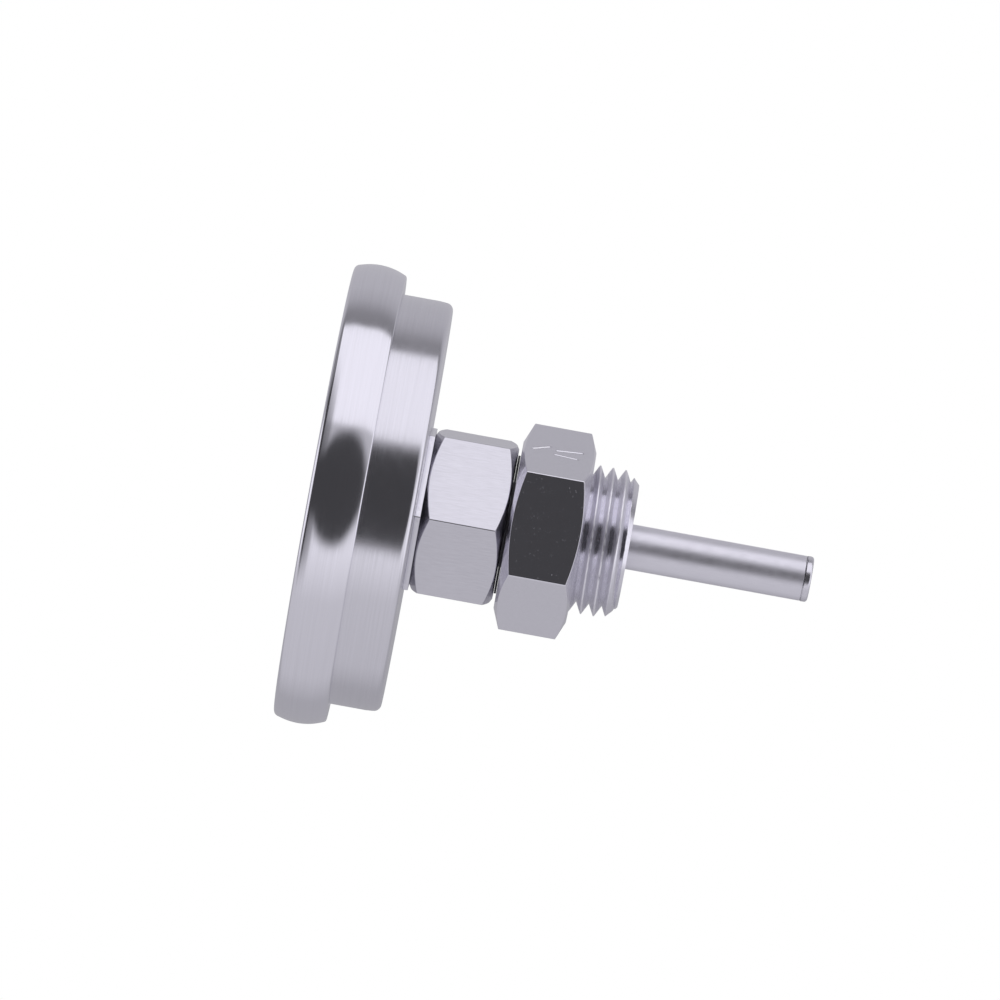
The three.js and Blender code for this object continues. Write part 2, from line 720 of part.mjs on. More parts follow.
const FINISHES = {
  polishedSteel: { color: 0xd6d6e0, roughness: 0.12, metalness: 1 },
  brushedSteel: { color: 0xc4c4cc, roughness: 0.32, metalness: 1 },
  turnedSteel: { color: 0xb4b4bc, roughness: 0.28, metalness: 1 },
  glass: { color: 0xf2f6f6, roughness: 0.02, metalness: 0, opacity: 0.3, transparent: true },
  blackRubber: { color: 0x18181a, roughness: 0.8, metalness: 0 },
  whiteEnamel: { color: 0xf2f2ee, roughness: 0.45, metalness: 0 },
  blackEnamel: { color: 0x111114, roughness: 0.4, metalness: 0 },
  brass: { color: 0xb08d4a, roughness: 0.3, metalness: 1 },
  bimetal: { color: 0xa89c88, roughness: 0.4, metalness: 1 },
  ptfe: { color: 0xe8e8e4, roughness: 0.6, metalness: 0 },
};

function named(name, geometry, finish) {
  const mesh = new THREE.Mesh(geometry, new THREE.MeshStandardMaterial(FINISHES[finish]));
  mesh.name = name;
  return mesh;
}

const housing = new THREE.Group();
housing.add(
  named('bezel_ring', bezelRing(), 'polishedSteel'),
  named('window_glass', windowGlass(), 'glass'),
  named('window_gasket', windowGasket(), 'blackRubber'),
  named('window_seat_ring', windowSeatRing(), 'blackEnamel'),
  named('dial_plate', dialPlate(), 'whiteEnamel'),
  named('dial_screw_left', dialScrew(-POST_PLACE_R), 'turnedSteel'),
  named('dial_screw_right', dialScrew(POST_PLACE_R), 'turnedSteel'),
  named('dial_post_left', dialPost(-POST_PLACE_R), 'brass'),
  named('dial_post_right', dialPost(POST_PLACE_R), 'brass'),
  named('stop_pin', stopPin(), 'brass'),
  named('case_cup', caseCup(), 'polishedSteel'),
  named('case_washer', caseWasher(), 'brushedSteel'),
  named('lock_washer', lockWasher(), 'turnedSteel'),
  named('case_lock_nut', caseLockNut(), 'turnedSteel'),
  named('neck_hex', neckHex(), 'brushedSteel'),
  named('swivel_washer', swivelWasher(), 'ptfe'),
  named('union_o_ring', unionORing(), 'blackRubber'),
  named('union_snap_ring', unionSnapRing(), 'turnedSteel'),
  named('stem_tube', stemTube(), 'polishedSteel'),
  named('stem_tip_plug', stemTipPlug(), 'polishedSteel'),
  named('helix_anchor', helixAnchor(), 'brass'),
  named('bimetal_helix', bimetalHelix(), 'bimetal'),
  named('upper_bearing_bush', upperBearingBush(), 'brass'),
  named('mid_guide_bush', midGuideBush(), 'brass'),
);

const union = new THREE.Group();
union.add(named('union_fitting', unionFitting(), 'turnedSteel'));

// The pointer is drawn at 12 o'clock; the group turns it to the resting reading.
const movement = new THREE.Group();
movement.add(
  named('pointer', pointerPlate(), 'blackEnamel'),
  named('pointer_hub', pointerHub(), 'brass'),
  named('spindle', spindle(), 'turnedSteel'),
  named('helix_collar', helixCollar(), 'brass'),
);
movement.rotation.y = SCALE_SWEEP * (REST_READING / SCALE_TOP - 0.5);

const group = new THREE.Group();
group.add(housing, union, movement);

export default group;
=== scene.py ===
"""Looks of the bimetal dial thermometer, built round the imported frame.

Metres throughout. The dial faces -Y, the stem points to +Y, and 12 o'clock is +Z.
"""

import json
import math

import bmesh
import bpy
from mathutils import Matrix, Vector


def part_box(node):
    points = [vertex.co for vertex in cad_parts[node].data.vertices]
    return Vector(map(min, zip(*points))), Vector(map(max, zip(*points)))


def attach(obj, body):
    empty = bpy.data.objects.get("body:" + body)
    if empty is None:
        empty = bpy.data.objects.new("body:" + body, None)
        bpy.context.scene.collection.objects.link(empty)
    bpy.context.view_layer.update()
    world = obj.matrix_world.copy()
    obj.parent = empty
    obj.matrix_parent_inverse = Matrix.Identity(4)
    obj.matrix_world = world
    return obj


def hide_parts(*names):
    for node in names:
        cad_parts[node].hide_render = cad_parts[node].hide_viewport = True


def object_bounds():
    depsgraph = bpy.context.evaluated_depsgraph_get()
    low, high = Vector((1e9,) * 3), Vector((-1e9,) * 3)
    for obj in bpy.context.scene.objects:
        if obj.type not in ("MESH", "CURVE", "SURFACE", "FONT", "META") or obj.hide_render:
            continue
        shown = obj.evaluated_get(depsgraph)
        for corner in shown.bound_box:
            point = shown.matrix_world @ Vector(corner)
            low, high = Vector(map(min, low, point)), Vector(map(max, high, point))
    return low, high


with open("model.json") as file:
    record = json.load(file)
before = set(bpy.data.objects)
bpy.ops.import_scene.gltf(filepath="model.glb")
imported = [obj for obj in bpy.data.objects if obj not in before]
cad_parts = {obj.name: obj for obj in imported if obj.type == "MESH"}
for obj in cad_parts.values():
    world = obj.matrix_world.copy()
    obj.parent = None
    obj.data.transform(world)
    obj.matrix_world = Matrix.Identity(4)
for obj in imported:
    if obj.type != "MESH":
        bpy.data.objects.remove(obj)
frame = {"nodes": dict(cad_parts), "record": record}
cad_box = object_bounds()
nodes = frame["nodes"]
mount_place = {m["name"]: Vector(m["pos_m"]) for m in frame["record"]["mounts"]}
mount_axis = {m["name"]: Vector(m["axis"]) for m in frame["record"]["mounts"]}

MM = 0.001
TURN = 2 * math.pi
SIXTH = TURN / 6

# ------------------------------------------------------------------ sizes


def span(node):
    """First and last y of a CAD node, and its outer radius."""
    low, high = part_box(node)
    return low.y, high.y, high.x


BEZEL_FRONT, BEZEL_BACK, BEZEL_R = span("bezel_ring")
CASE_FLANGE, CASE_BACK, FLANGE_R = span("case_cup")
GLASS_FRONT, GLASS_BACK, GLASS_R = span("window_glass")
GASKET_BACK = span("window_gasket")[1]
DIAL_FRONT, DIAL_BACK, DIAL_R = span("dial_plate")
WASHER_FRONT, WASHER_BACK, _ = span("case_washer")
NECK_FRONT, NECK_END, _ = span("neck_hex")
SWIVEL_FRONT, SWIVEL_BACK, SWIVEL_R = span("swivel_washer")
UNION_FRONT, THREAD_END, _ = span("union_fitting")
STEM_FRONT, STEM_WELD, STEM_R = span("stem_tube")
PLUG_FRONT, STEM_END, _ = span("stem_tip_plug")
POINTER_FRONT, POINTER_BACK, _ = span("pointer")
HUB_FRONT, HUB_BACK, _ = span("pointer_hub")
PIN_FRONT, PIN_BACK, PIN_HEAD_R = span("stop_pin")
SHOULDER = mount_place["sealing_face"].y

# Sheet metal of case and bezel; the bezel's wall is an arc, highest at CROWN_Y
SHEET = 0.8 * MM
CASE_R = 29.075 * MM
CASE_INNER_R = CASE_R - SHEET
WINDOW_OPENING_R = 28.6 * MM
BEZEL_WALL = 0.95 * MM
CROWN_R = 8.5 * MM
CROWN_Y = BEZEL_FRONT + 3.5 * MM

# Hexagons: radius of an end face's circle, and the chamfer's run along the axis per unit of radius
CORNER_R = 0.26 * MM
NECK_END_R = 10.6 * MM
NECK_CHAMFER_SLOPE = math.tan(math.radians(30))
UNION_FRONT_END_R = 11.8 * MM
UNION_BACK_END_R = 12.05 * MM
UNION_CHAMFER_SLOPE = math.tan(math.radians(22.5))

# The neck's spigots, one into the case and one into the union, and the stem inside them
SPIGOT_R = 6.5 * MM
REAR_SPIGOT_R = 6.0 * MM
SPIGOT_CHAMFER = 0.5 * MM
STEM_INNER_R = STEM_R - 0.5 * MM
CLEARANCE = 0.1 * MM

# The scale, in degrees Celsius, and the angle of dial that it takes up
SCALE_TOP = 120
SCALE_SWEEP = math.radians(270)
REST_READING = 20

# G1/2 thread, with lengths from the sealing face
PITCH = 25.4 / 14 * MM
MAJOR_R = 20.955 / 2 * MM
MINOR_R = 18.631 / 2 * MM
FIRST_CREST = 0.91 * MM
FLANK = math.radians(27.5)
CREST_HALF = 0.07 * MM
END_CHAMFER = 1.7 * MM
END_R = 8.7 * MM

# ------------------------------------------------------------------ meshes

WELD_DISTANCE = 1e-7
SHARP_EDGE = math.radians(38)
FLAT_FACE_WEIGHT = 80
LONGEST_ROUNDING = 0.48
CORNER_STEPS = 4


def rounded(corners, closed, steps):
    """An outline of (r, y) from corners of (r, y, edge radius), each with its edge rounded by an arc."""
    points = []
    count = len(corners)
    for i, (r, y, radius) in enumerate(corners):
        here = Vector((r, y))
        ends = not closed and i in (0, count - 1)
        if ends or radius == 0:
            points.append(here)
            continue
        before = Vector(corners[i - 1][:2]) - here
        after = Vector(corners[(i + 1) % count][:2]) - here
        half_angle = before.angle(after) / 2
        longest = LONGEST_ROUNDING * min(before.length, after.length)
        reach = min(radius / math.tan(half_angle), longest)
        radius = reach * math.tan(half_angle)
        start = here + before.normalized() * reach
        end = here + after.normalized() * reach
        middle = (before.normalized() + after.normalized()).normalized()
        centre = here + middle * radius / math.sin(half_angle)
        for k in range(steps + 1):
            arm = (start - centre).slerp(end - centre, k / steps).normalized()
            points.append(centre + arm * radius)
    return [(p.x, p.y) for p in points]


def mesh_from_columns(name, columns, closed):
    """A piece that goes all the way round the axis, from columns of (angle, outline of (r, y)).

    The angles rise, and the outlines all have as many points. A closed outline joins its end to its start.
    """
    mesh = bmesh.new()
    grid = []
    for angle, outline in columns:
        sin, cos = math.sin(angle), math.cos(angle)
        grid.append([mesh.verts.new((r * sin, y, r * cos)) for r, y in outline])
    rows = len(grid[0])
    last_row = rows if closed else rows - 1
    for i, column in enumerate(grid):
        beside = grid[(i + 1) % len(grid)]
        for j in range(last_row):
            k = (j + 1) % rows
            mesh.faces.new((column[j], beside[j], beside[k], column[k]))
    bmesh.ops.remove_doubles(mesh, verts=mesh.verts, dist=WELD_DISTANCE)
    bmesh.ops.dissolve_degenerate(mesh, edges=mesh.edges, dist=WELD_DISTANCE)
    bmesh.ops.recalc_face_normals(mesh, faces=mesh.faces)
    return object_from(name, mesh)


def object_from(name, mesh):
    """A smooth-shaded object of a bmesh, with its flat faces kept flat."""
    data = bpy.data.meshes.new(name)
    mesh.to_mesh(data)
    mesh.free()
    data.polygons.foreach_set("use_smooth", [True] * len(data.polygons))
    data.set_sharp_from_angle(angle=SHARP_EDGE)
    piece = bpy.data.objects.new(name, data)
    bpy.context.scene.collection.objects.link(piece)
    weighted = piece.modifiers.new("flat_faces", "WEIGHTED_NORMAL")
    weighted.keep_sharp = True
    weighted.weight = FLAT_FACE_WEIGHT
    return piece


def evaluated_mesh(source):
    """The mesh that an object's modifiers or its curve make."""
    return bpy.data.meshes.new_from_object(source.evaluated_get(bpy.context.evaluated_depsgraph_get()))


def spin(name, corners, closed=True, segments=192, steps=5, centre=(0, 0)):
    """A turned piece about the axis through centre (x, z), from corners of (r, y, edge radius)."""
    outline = rounded(corners, closed, steps)
    columns = [(TURN * i / segments, outline) for i in range(segments)]
    piece = mesh_from_columns(name, columns, closed)
    piece.data.transform(Matrix.Translation((centre[0], 0, centre[1])))
    return piece


def rod_corners(r, front, back, edge):
    """Corners of a rod from front to back."""
    return [(0, front, 0), (r, front, edge), (r, back, edge), (0, back, 0)]


def ring_corners(inner, outer, front, back, edge):
    """Corners of a plain ring."""
    return [(inner, front, edge), (outer, front, edge), (outer, back, edge), (inner, back, edge)]


def half_flat_angle(flat_r):
    """Half the angle that a hexagon's flat takes up between its rounded corners."""
    return math.atan((flat_r - CORNER_R) * math.tan(SIXTH / 2) / flat_r)


def hex_radius(angle, flat_r, flat_angle):
    """Distance from the axis to a hexagon with rounded corners, at an angle."""
    off = (angle - flat_angle + SIXTH / 2) % SIXTH - SIXTH / 2
    if abs(off) <= half_flat_angle(flat_r):
        return flat_r / math.cos(off)
    centre = (flat_r - CORNER_R) / math.cos(SIXTH / 2)
    lean = SIXTH / 2 - abs(off)
    return centre * math.cos(lean) + math.sqrt(CORNER_R**2 - (centre * math.sin(lean)) ** 2)


def hex_angles(flat_r, flat_angle, across=18):
    """Angles that follow a hexagon: even steps over each flat, close ones round each corner."""
    half = half_flat_angle(flat_r)
    angles = []
    for face in range(6):
        middle = flat_angle + face * SIXTH
        angles += [middle - half + 2 * half * i / across for i in range(across)]
        start = middle + half
        angles += [start + (SIXTH - 2 * half) * i / CORNER_STEPS for i in range(CORNER_STEPS)]
    return angles


def spanner_flat(mount):
    """A spanner flat's distance from the axis, and its angle about +Y, from +Z towards +X."""
    place, axis = mount_place[mount], mount_axis[mount]
    return math.hypot(place.x, place.z), math.atan2(axis.x, axis.z)


def flat_radius_of(corner, flat_angle):
    """Distance from the axis to a hexagon's flats, from the far corner of its box and a flat's angle."""
    reach = max(abs(math.sin(flat_angle + SIXTH * (k + 0.5))) for k in range(6))
    return corner.x / reach * math.cos(SIXTH / 2)


# ------------------------------------------------------------------ shader building


class Nodes:
    """Short ways to add nodes to a shader tree."""

    def __init__(self, tree):
        self.tree = tree

    def node(self, kind, inputs=(), **settings):
        """Adds a node; inputs are (socket, value or output) pairs."""
        node = self.tree.nodes.new("ShaderNode" + kind)
        for key, value in settings.items():
            setattr(node, key, value)
        for socket, value in inputs:
            self.feed(node.inputs[socket], value)
        return node

    def feed(self, socket, value):
        """Gives a socket an output to follow, or a fixed value."""
        if isinstance(value, bpy.types.NodeSocket):
            self.tree.links.new(value, socket)
        else:
            socket.default_value = value

    def math(self, operation, *values):
        """The result of a Math node."""
        return self.node("Math", list(enumerate(values)), operation=operation).outputs[0]

    def ramp(self, value, low, high, out_low, out_high, smooth=False):
        """A value's place between low and high, carried over to out_low and out_high."""
        pairs = [(0, value), (1, low), (2, high), (3, out_low), (4, out_high)]
        kind = "SMOOTHSTEP" if smooth else "LINEAR"
        return self.node("MapRange", pairs, interpolation_type=kind, clamp=True).outputs[0]

    def within(self, value, low, high, soft):
        """1 between low and high, falling smoothly to 0 over a soft edge."""
        begun = self.ramp(value, low - soft, low + soft, 0.0, 1.0, smooth=True)
        ended = self.ramp(value, high - soft, high + soft, 1.0, 0.0, smooth=True)
        return self.math("MULTIPLY", begun, ended)

    def blend(self, factor, first, second):
        """A number between first and second."""
        pairs = [(0, factor), (2, first), (3, second)]
        return self.node("Mix", pairs, data_type="FLOAT").outputs[0]

    def mix_colour(self, factor, first, second, how="MIX"):
        """A colour between first and second."""
        pairs = [(0, factor), (6, first), (7, second)]
        return self.node("Mix", pairs, data_type="RGBA", blend_type=how).outputs[2]

    def length(self, first, second):
        """The square root of the sum of two squares."""
        squares = self.math("ADD", self.math("MULTIPLY", first, first), self.math("MULTIPLY", second, second))
        return self.math("SQRT", squares)


class Shader(Nodes):
    """A material with its tree."""

    def __init__(self, name):
        self.material = bpy.data.materials.new(name)
        self.material.use_nodes = True
        super().__init__(self.material.node_tree)
        self.surface = self.tree.nodes["Principled BSDF"]

    def set(self, **values):
        """Sets sockets of the surface; underscores stand for spaces."""
        for key, value in values.items():
            self.feed(self.surface.inputs[key.replace("_", " ")], value)

    def now(self, socket):
        """The output that feeds a socket of the surface so far."""
        return self.surface.inputs[socket].links[0].from_socket

    def vector(self, x, y, z):
        """A vector of three numbers."""
        return self.node("CombineXYZ", [("X", x), ("Y", y), ("Z", z)]).outputs[0]

    def place(self):
        """x, y, z in millimetres in the piece's own frame."""
        coords = self.node("TexCoord").outputs["Object"]
        scaled = self.node("VectorMath", [(0, coords), ("Scale", 1 / MM)], operation="SCALE").outputs[0]
        return self.node("SeparateXYZ", [(0, scaled)]).outputs

    def noise(self, vector, scale, detail, roughness=0.55):
        """Noise from 0 to 1 with scale lumps per unit of the vector."""
        pairs = [("Vector", vector), ("Scale", scale), ("Detail", detail), ("Roughness", roughness)]
        return self.node("TexNoise", pairs).outputs["Fac"]

    def bump(self, height, distance, normal=None):
        """The normal of a surface raised by height times distance, in metres."""
        pairs = [("Height", height), ("Distance", distance), ("Strength", 1.0)]
        if normal is not None:
            pairs.append(("Normal", normal))
        return self.node("Bump", pairs).outputs[0]


STEEL_TINT = (1.0, 0.99, 1.045)


def grey(level, tint=STEEL_TINT):
    """A grey of some brightness, slightly tinted."""
    return (level * tint[0], level * tint[1], level * tint[2], 1)


# Scale of the tool marks' noise. Spun: per millimetre of radius, of y, and per radian. Others: per millimetre
GRAINS = {"spun": (7.0, 7.0, 1.5), "along": (9.0, 0.5, 9.0), "matt": (2.5, 2.5, 2.5)}
CLOUD_SCALE = 0.16
WEAR_SCALE = 0.7

# Ranges of noise that a ramp spreads out
NARROW_NOISE = (0.35, 0.65)
WIDE_NOISE = (0.3, 0.7)


def metal(name, level, grain, rough, grain_depth, contrast=0.12, tint=STEEL_TINT):
    """Metal with fine tool marks, faint clouds and patches of wear.

    Level is its brightness and contrast that of the tool marks. The grain is "spun" round the axis, "along"
    it, or "matt", and grain_depth is in metres.
    """
    s = Shader(name)
    x, y, z = s.place()
    first, third = x, z
    if grain == "spun":
        first, third = s.length(x, z), s.math("ARCTAN2", x, z)
    scales = GRAINS[grain]
    fine = s.vector(*(s.math("MULTIPLY", c, k) for c, k in zip((first, y, third), scales)))
    at = s.vector(x, y, z)
    lines = s.noise(fine, 1.0, 4.0, 0.6)
    cloud = s.noise(at, CLOUD_SCALE, 2.0)
    worn = s.noise(at, WEAR_SCALE, 2.0)
    darker, lighter = grey(level * (1 - contrast), tint), grey(min(level, 1.0), tint)
    colour = s.mix_colour(s.ramp(lines, *NARROW_NOISE, 0.0, 1.0), darker, lighter)
    colour = s.mix_colour(s.ramp(cloud, *NARROW_NOISE, 0.0, 0.25), colour, darker)
    wear = s.ramp(worn, *WIDE_NOISE, rough * 0.92, rough * 1.1)
    roughness = s.math("ADD", wear, s.ramp(lines, *WIDE_NOISE, 0.03, -0.02))
    s.set(Base_Color=colour, Metallic=1.0, Roughness=roughness)
    s.set(Normal=s.bump(lines, grain_depth))
    return s


# ------------------------------------------------------------------ finishes

# Measures in this section are in millimetres, except the depths of tool marks, specks, seam and paint: metres


def bezel_steel():
    """Polished round and round."""
    return metal("bezel_polished_steel", 0.86, "spun", 0.12, 0.3e-6, 0.04).material


def case_steel():
    """Polished round and round, a little less than the bezel."""
    return metal("case_polished_steel", 0.82, "spun", 0.16, 0.4e-6, 0.05).material


CONE_MARGIN = 0.12
DEEPEST_CHAMFER = 1.4


def neck_steel():
    """Flats brushed along the axis, and chamfers coloured darker as painted shade."""
    s = metal("neck_brushed_steel", 0.77, "along", 0.19, 1.0e-6, 0.07)
    x, y, z = s.place()
    from_front = s.math("SUBTRACT", y, WASHER_BACK / MM)
    from_back = s.math("SUBTRACT", SWIVEL_FRONT / MM, y)
    from_end = s.math("MINIMUM", s.math("ABSOLUTE", from_front), s.math("ABSOLUTE", from_back))
    cone = s.math("ADD", NECK_END_R / MM - CONE_MARGIN, s.math("DIVIDE", from_end, NECK_CHAMFER_SLOPE))
    near_end = s.math("LESS_THAN", from_end, DEEPEST_CHAMFER)
    cut = s.math("MULTIPLY", s.math("GREATER_THAN", s.length(x, z), cone), near_end)
    # Painted shade: the chamfers near both ends of the hexagon are coloured darker than its flats.
    s.set(Base_Color=s.mix_colour(cut, s.now("Base Color"), grey(0.6)))
    return s.material


# Lengths over which a scratch starts and runs out
SCRATCH_START = 0.4
SCRATCH_END = 0.8


def scratch(s, across, along, start, end, half_width):
    """A thin straight scratch between two points of a flat.

    Gives its strength, 1 fading to 0 beside it, and its height, with one side raised and the other sunk.
    """
    (a0, b0), (a1, b1) = start, end
    length = math.hypot(a1 - a0, b1 - b0)
    ux, uy = (a1 - a0) / length, (b1 - b0) / length
    da = s.math("SUBTRACT", across, a0)
    db = s.math("SUBTRACT", along, b0)
    run = s.math("ADD", s.math("MULTIPLY", da, ux), s.math("MULTIPLY", db, uy))
    side = s.math("SUBTRACT", s.math("MULTIPLY", da, uy), s.math("MULTIPLY", db, ux))
    near = s.ramp(s.math("ABSOLUTE", side), half_width / 2, half_width, 1.0, 0.0, smooth=True)
    begun = s.ramp(run, 0.0, SCRATCH_START, 0.0, 1.0, smooth=True)
    ended = s.ramp(run, length - SCRATCH_END, length, 1.0, 0.0, smooth=True)
    strength = s.math("MULTIPLY", near, s.math("MULTIPLY", begun, ended))
    return strength, s.math("MULTIPLY", side, strength)


# Marks that a spanner left on one flat: two ends as (across, y from the sealing face), and force.
# The flat is known by its distance from the axis, less FLAT_DEPTH.
SPANNER_MARKS = (
    ((0.4, -9.1), (-1.35, -6.1), 1.0),
    ((-0.25, -5.85), (-0.9, -1.45), 0.85),
    ((0.9, -6.05), (1.3, -2.05), 0.65),
)
MARK_HALF_WIDTH = 0.3
MARK_STEEPNESS = -0.42
FLAT_DEPTH = 0.05


def spanner_marks(s, x, y, z):
    """Strength and height of the marks on the flat next to the one that the mount names."""
    flat_r, flat_angle = spanner_flat("union_spanner_flat")
    sin, cos = math.sin(flat_angle - SIXTH), math.cos(flat_angle - SIXTH)
    facing = s.math("ADD", s.math("MULTIPLY", x, sin), s.math("MULTIPLY", z, cos))
    across = s.math("SUBTRACT", s.math("MULTIPLY", x, cos), s.math("MULTIPLY", z, sin))
    on_flat = s.math("GREATER_THAN", facing, flat_r / MM - FLAT_DEPTH)
    marks, heights = 0.0, 0.0
    for start, end, force in SPANNER_MARKS:
        strength, height = scratch(s, across, y, start, end, MARK_HALF_WIDTH * force)
        marks = s.math("MAXIMUM", marks, s.math("MULTIPLY", strength, force))
        heights = s.math("ADD", heights, height)
    return s.math("MULTIPLY", marks, on_flat), s.math("MULTIPLY", heights, on_flat)


# Depths below the major radius and heights above the minor one over which the flank begins and ends
CREST_EDGE = (0.22, 0.12)
ROOT_EDGE = (0.05, 0.16)

# Lengths at the thread's two ends that are left plain
THREAD_MARGINS = (0.1, 0.5)


def thread_wear(s, x, y, z):
    """Where the thread's crests get a painted highlight, and where its flanks get painted shade."""
    r = s.length(x, z)
    crest = s.ramp(r, *(MAJOR_R / MM - edge for edge in CREST_EDGE), 0.0, 1.0)
    root = s.ramp(r, *(MINOR_R / MM + edge for edge in ROOT_EDGE), 1.0, 0.0)
    begun = s.math("GREATER_THAN", y, THREAD_MARGINS[0])
    before_end = s.math("LESS_THAN", y, (THREAD_END - SHOULDER) / MM - THREAD_MARGINS[1])
    threaded = s.math("MULTIPLY", begun, before_end)
    flank = s.math("MULTIPLY", threaded, s.math("SUBTRACT", 1.0, s.math("MAXIMUM", crest, root)))
    return s.math("MULTIPLY", crest, threaded), flank


SPECK_SCALE = 5.0
SPECK_NOISE = (0.77, 0.81)
SPECK_STRENGTH = 0.5
SPECK_DEPTH = 3.5e-5
WORN_ROUGHER = 0.2
FLANK_ROUGHER = 0.24


def union_steel():
    """Smooth machined flats with a few spanner marks and specks of wear, and a rougher thread with a painted
    highlight on its crests and painted shade on its flanks.
    """
    s = metal("union_machined_steel", 0.86, "matt", 0.15, 0.8e-6, 0.03)
    x, own_y, z = s.place()
    y = s.math("SUBTRACT", own_y, SHOULDER / MM)
    marks, heights = spanner_marks(s, x, y, z)
    speckled = s.noise(s.vector(x, own_y, z), SPECK_SCALE, 1.0)
    specks = s.ramp(speckled, *SPECK_NOISE, 0.0, SPECK_STRENGTH)
    crest_highlight, flank = thread_wear(s, x, y, z)
    worn = s.math("MAXIMUM", marks, s.math("MAXIMUM", specks, crest_highlight))
    flank_rougher = s.math("MULTIPLY", flank, FLANK_ROUGHER)
    rougher = s.math("ADD", s.math("MULTIPLY", worn, WORN_ROUGHER), flank_rougher)
    # Painted shade: the thread's flanks are coloured a little darker than the rest.
    cut = s.mix_colour(flank, s.now("Base Color"), grey(0.82))
    # Spanner marks and specks are lighter as worn metal; the thread's crests are lighter as a painted
    # highlight.
    s.set(Base_Color=s.mix_colour(worn, cut, grey(0.98)))
    s.set(Roughness=s.math("ADD", s.now("Roughness"), rougher))
    dented = s.bump(specks, -SPECK_DEPTH, s.now("Normal"))
    s.set(Normal=s.bump(heights, MARK_STEEPNESS * MM, dented))
    return s.material


def stem_steel():
    """Satin, drawn along the axis."""
    return metal("stem_satin_steel", 0.9, "along", 0.44, 0.3e-6, 0.03).material


# The weld seam: how far past the tube's end, how ragged, the half widths over which it fades, and its depth
SEAM_PAST_WELD = 0.1
SEAM_RAGGED = 0.09
SEAM_EDGE = (0.04, 0.12)
SEAM_DEPTH = 2.0e-5
BURNT = (0.16, 0.15, 0.17, 1)


def nose_steel():
    """The nose of the stem, with a thin ragged weld seam where the tube ends."""
    s = metal("nose_welded_steel", 0.84, "matt", 0.24, 2.0e-6, 0.06)
    x, y, z = s.place()
    at = s.vector(x, y, z)
    ragged = s.ramp(s.noise(at, 1.3, 3.0), *WIDE_NOISE, -SEAM_RAGGED, SEAM_RAGGED)
    past_seam = s.math("SUBTRACT", y, STEM_WELD / MM + SEAM_PAST_WELD)
    line = s.ramp(s.math("ABSOLUTE", s.math("ADD", past_seam, ragged)), *SEAM_EDGE, 0.8, 0.0, smooth=True)
    uneven = s.ramp(s.noise(at, 0.45, 1.0), 0.35, 0.6, 0.25, 1.0)
    burnt = s.math("MULTIPLY", line, uneven)
    s.set(Base_Color=s.mix_colour(burnt, s.now("Base Color"), BURNT))
    s.set(Normal=s.bump(burnt, -SEAM_DEPTH, s.now("Normal")))
    return s.material


def fixing_steel():
    """Plain steel of nuts, washers and screws."""
    return metal("fixing_turned_steel", 0.7, "matt", 0.3, 2.0e-6).material


BRASS_TINT = (1.0, 0.78, 0.40)
BIMETAL_TINT = (1.0, 0.93, 0.82)


def brass():
    """Turned brass of the movement's small pieces."""
    return metal("turned_brass", 0.72, "spun", 0.24, 1.0e-6, 0.1, BRASS_TINT).material


def bimetal():
    """The rolled strip of the helix."""
    return metal("rolled_bimetal", 0.6, "matt", 0.35, 2.0e-6, 0.12, BIMETAL_TINT).material


def paint(name, colour, rough, texture_depth, speckle):
    """An enamelled, painted, moulded or rubber surface: faint clouds of colour and an orange-peel texture."""
    s = Shader(name)
    at = s.vector(*s.place())
    peel = s.noise(at, 3.5, 3.0)
    cloud = s.noise(at, 0.25, 2.0)
    dark = (*(c * (1 - speckle) for c in colour), 1)
    light = (*(min(c * (1 + speckle) + speckle * 0.05, 1) for c in colour), 1)
    s.set(Base_Color=s.mix_colour(s.ramp(cloud, *WIDE_NOISE, 0.0, 1.0), dark, light))
    s.set(Roughness=s.ramp(peel, *WIDE_NOISE, rough * 0.88, rough * 1.12))
    s.set(Normal=s.bump(peel, texture_depth))
    return s.material


GLASS_HEAD_ON = 0.035
GLASS_GRAZED = 0.95
GLASS_TINT = (0.94, 0.97, 0.97, 1)


def clear_glass():
    """Flat glass as a mirror that is clear where it is looked through and shows where it is grazed."""
    s = Shader("window_clear_glass")
    smears = s.noise(s.vector(*s.place()), 0.12, 3.0)
    facing = s.node("LayerWeight", [("Blend", 0.5)]).outputs["Facing"]
    grazed = s.math("MULTIPLY", s.math("POWER", facing, 5.0), GLASS_GRAZED)
    s.set(Base_Color=GLASS_TINT, Metallic=1.0)
    s.set(Roughness=s.ramp(smears, 0.35, 0.75, 0.01, 0.05))
    s.set(Alpha=s.math("ADD", grazed, GLASS_HEAD_ON))
    return s.material


FINISHES = {
    "bezel": bezel_steel(),
    "case": case_steel(),
    "neck": neck_steel(),
    "union": union_steel(),
    "stem": stem_steel(),
    "nose": nose_steel(),
    "fixing": fixing_steel(),
    "brass": brass(),
    "bimetal": bimetal(),
    "glass": clear_glass(),
    "rubber": paint("black_rubber", (0.022, 0.022, 0.024), 0.75, 3.0e-6, 0.2),
    "seat": paint("satin_black_paint", (0.018, 0.018, 0.02), 0.42, 1.5e-6, 0.15),
    "dial": paint("white_dial_enamel", (0.86, 0.86, 0.84), 0.38, 1.0e-6, 0.015),
    "print": paint("black_dial_print", (0.012, 0.012, 0.014), 0.5, 0.5e-6, 0.1),
    "hand": paint("black_pointer_enamel", (0.014, 0.014, 0.016), 0.32, 1.0e-6, 0.1),
    # The PTFE washer is coloured near black as painted shade in the narrow gap between the two hexagons.
    "ptfe": paint("ptfe_dark_painted_shade", (0.05, 0.05, 0.055), 0.55, 1.5e-6, 0.1),
}


def finished(piece, finish, body, slot, *replaced):
    """Gives a piece its material and its body, and hides the CAD nodes that it stands for. The slot is not
    used.
    """
    piece.data.materials.clear()
    piece.data.materials.append(FINISHES[finish])
    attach(piece, body)
    if replaced:
        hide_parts(*replaced)


# ------------------------------------------------------------------ case, bezel and window


def crown_radius(y):
    """Radius of the bezel's wall, which bulges in one arc."""
    return BEZEL_R - CROWN_R + math.sqrt(CROWN_R ** 2 - (y - CROWN_Y) ** 2)


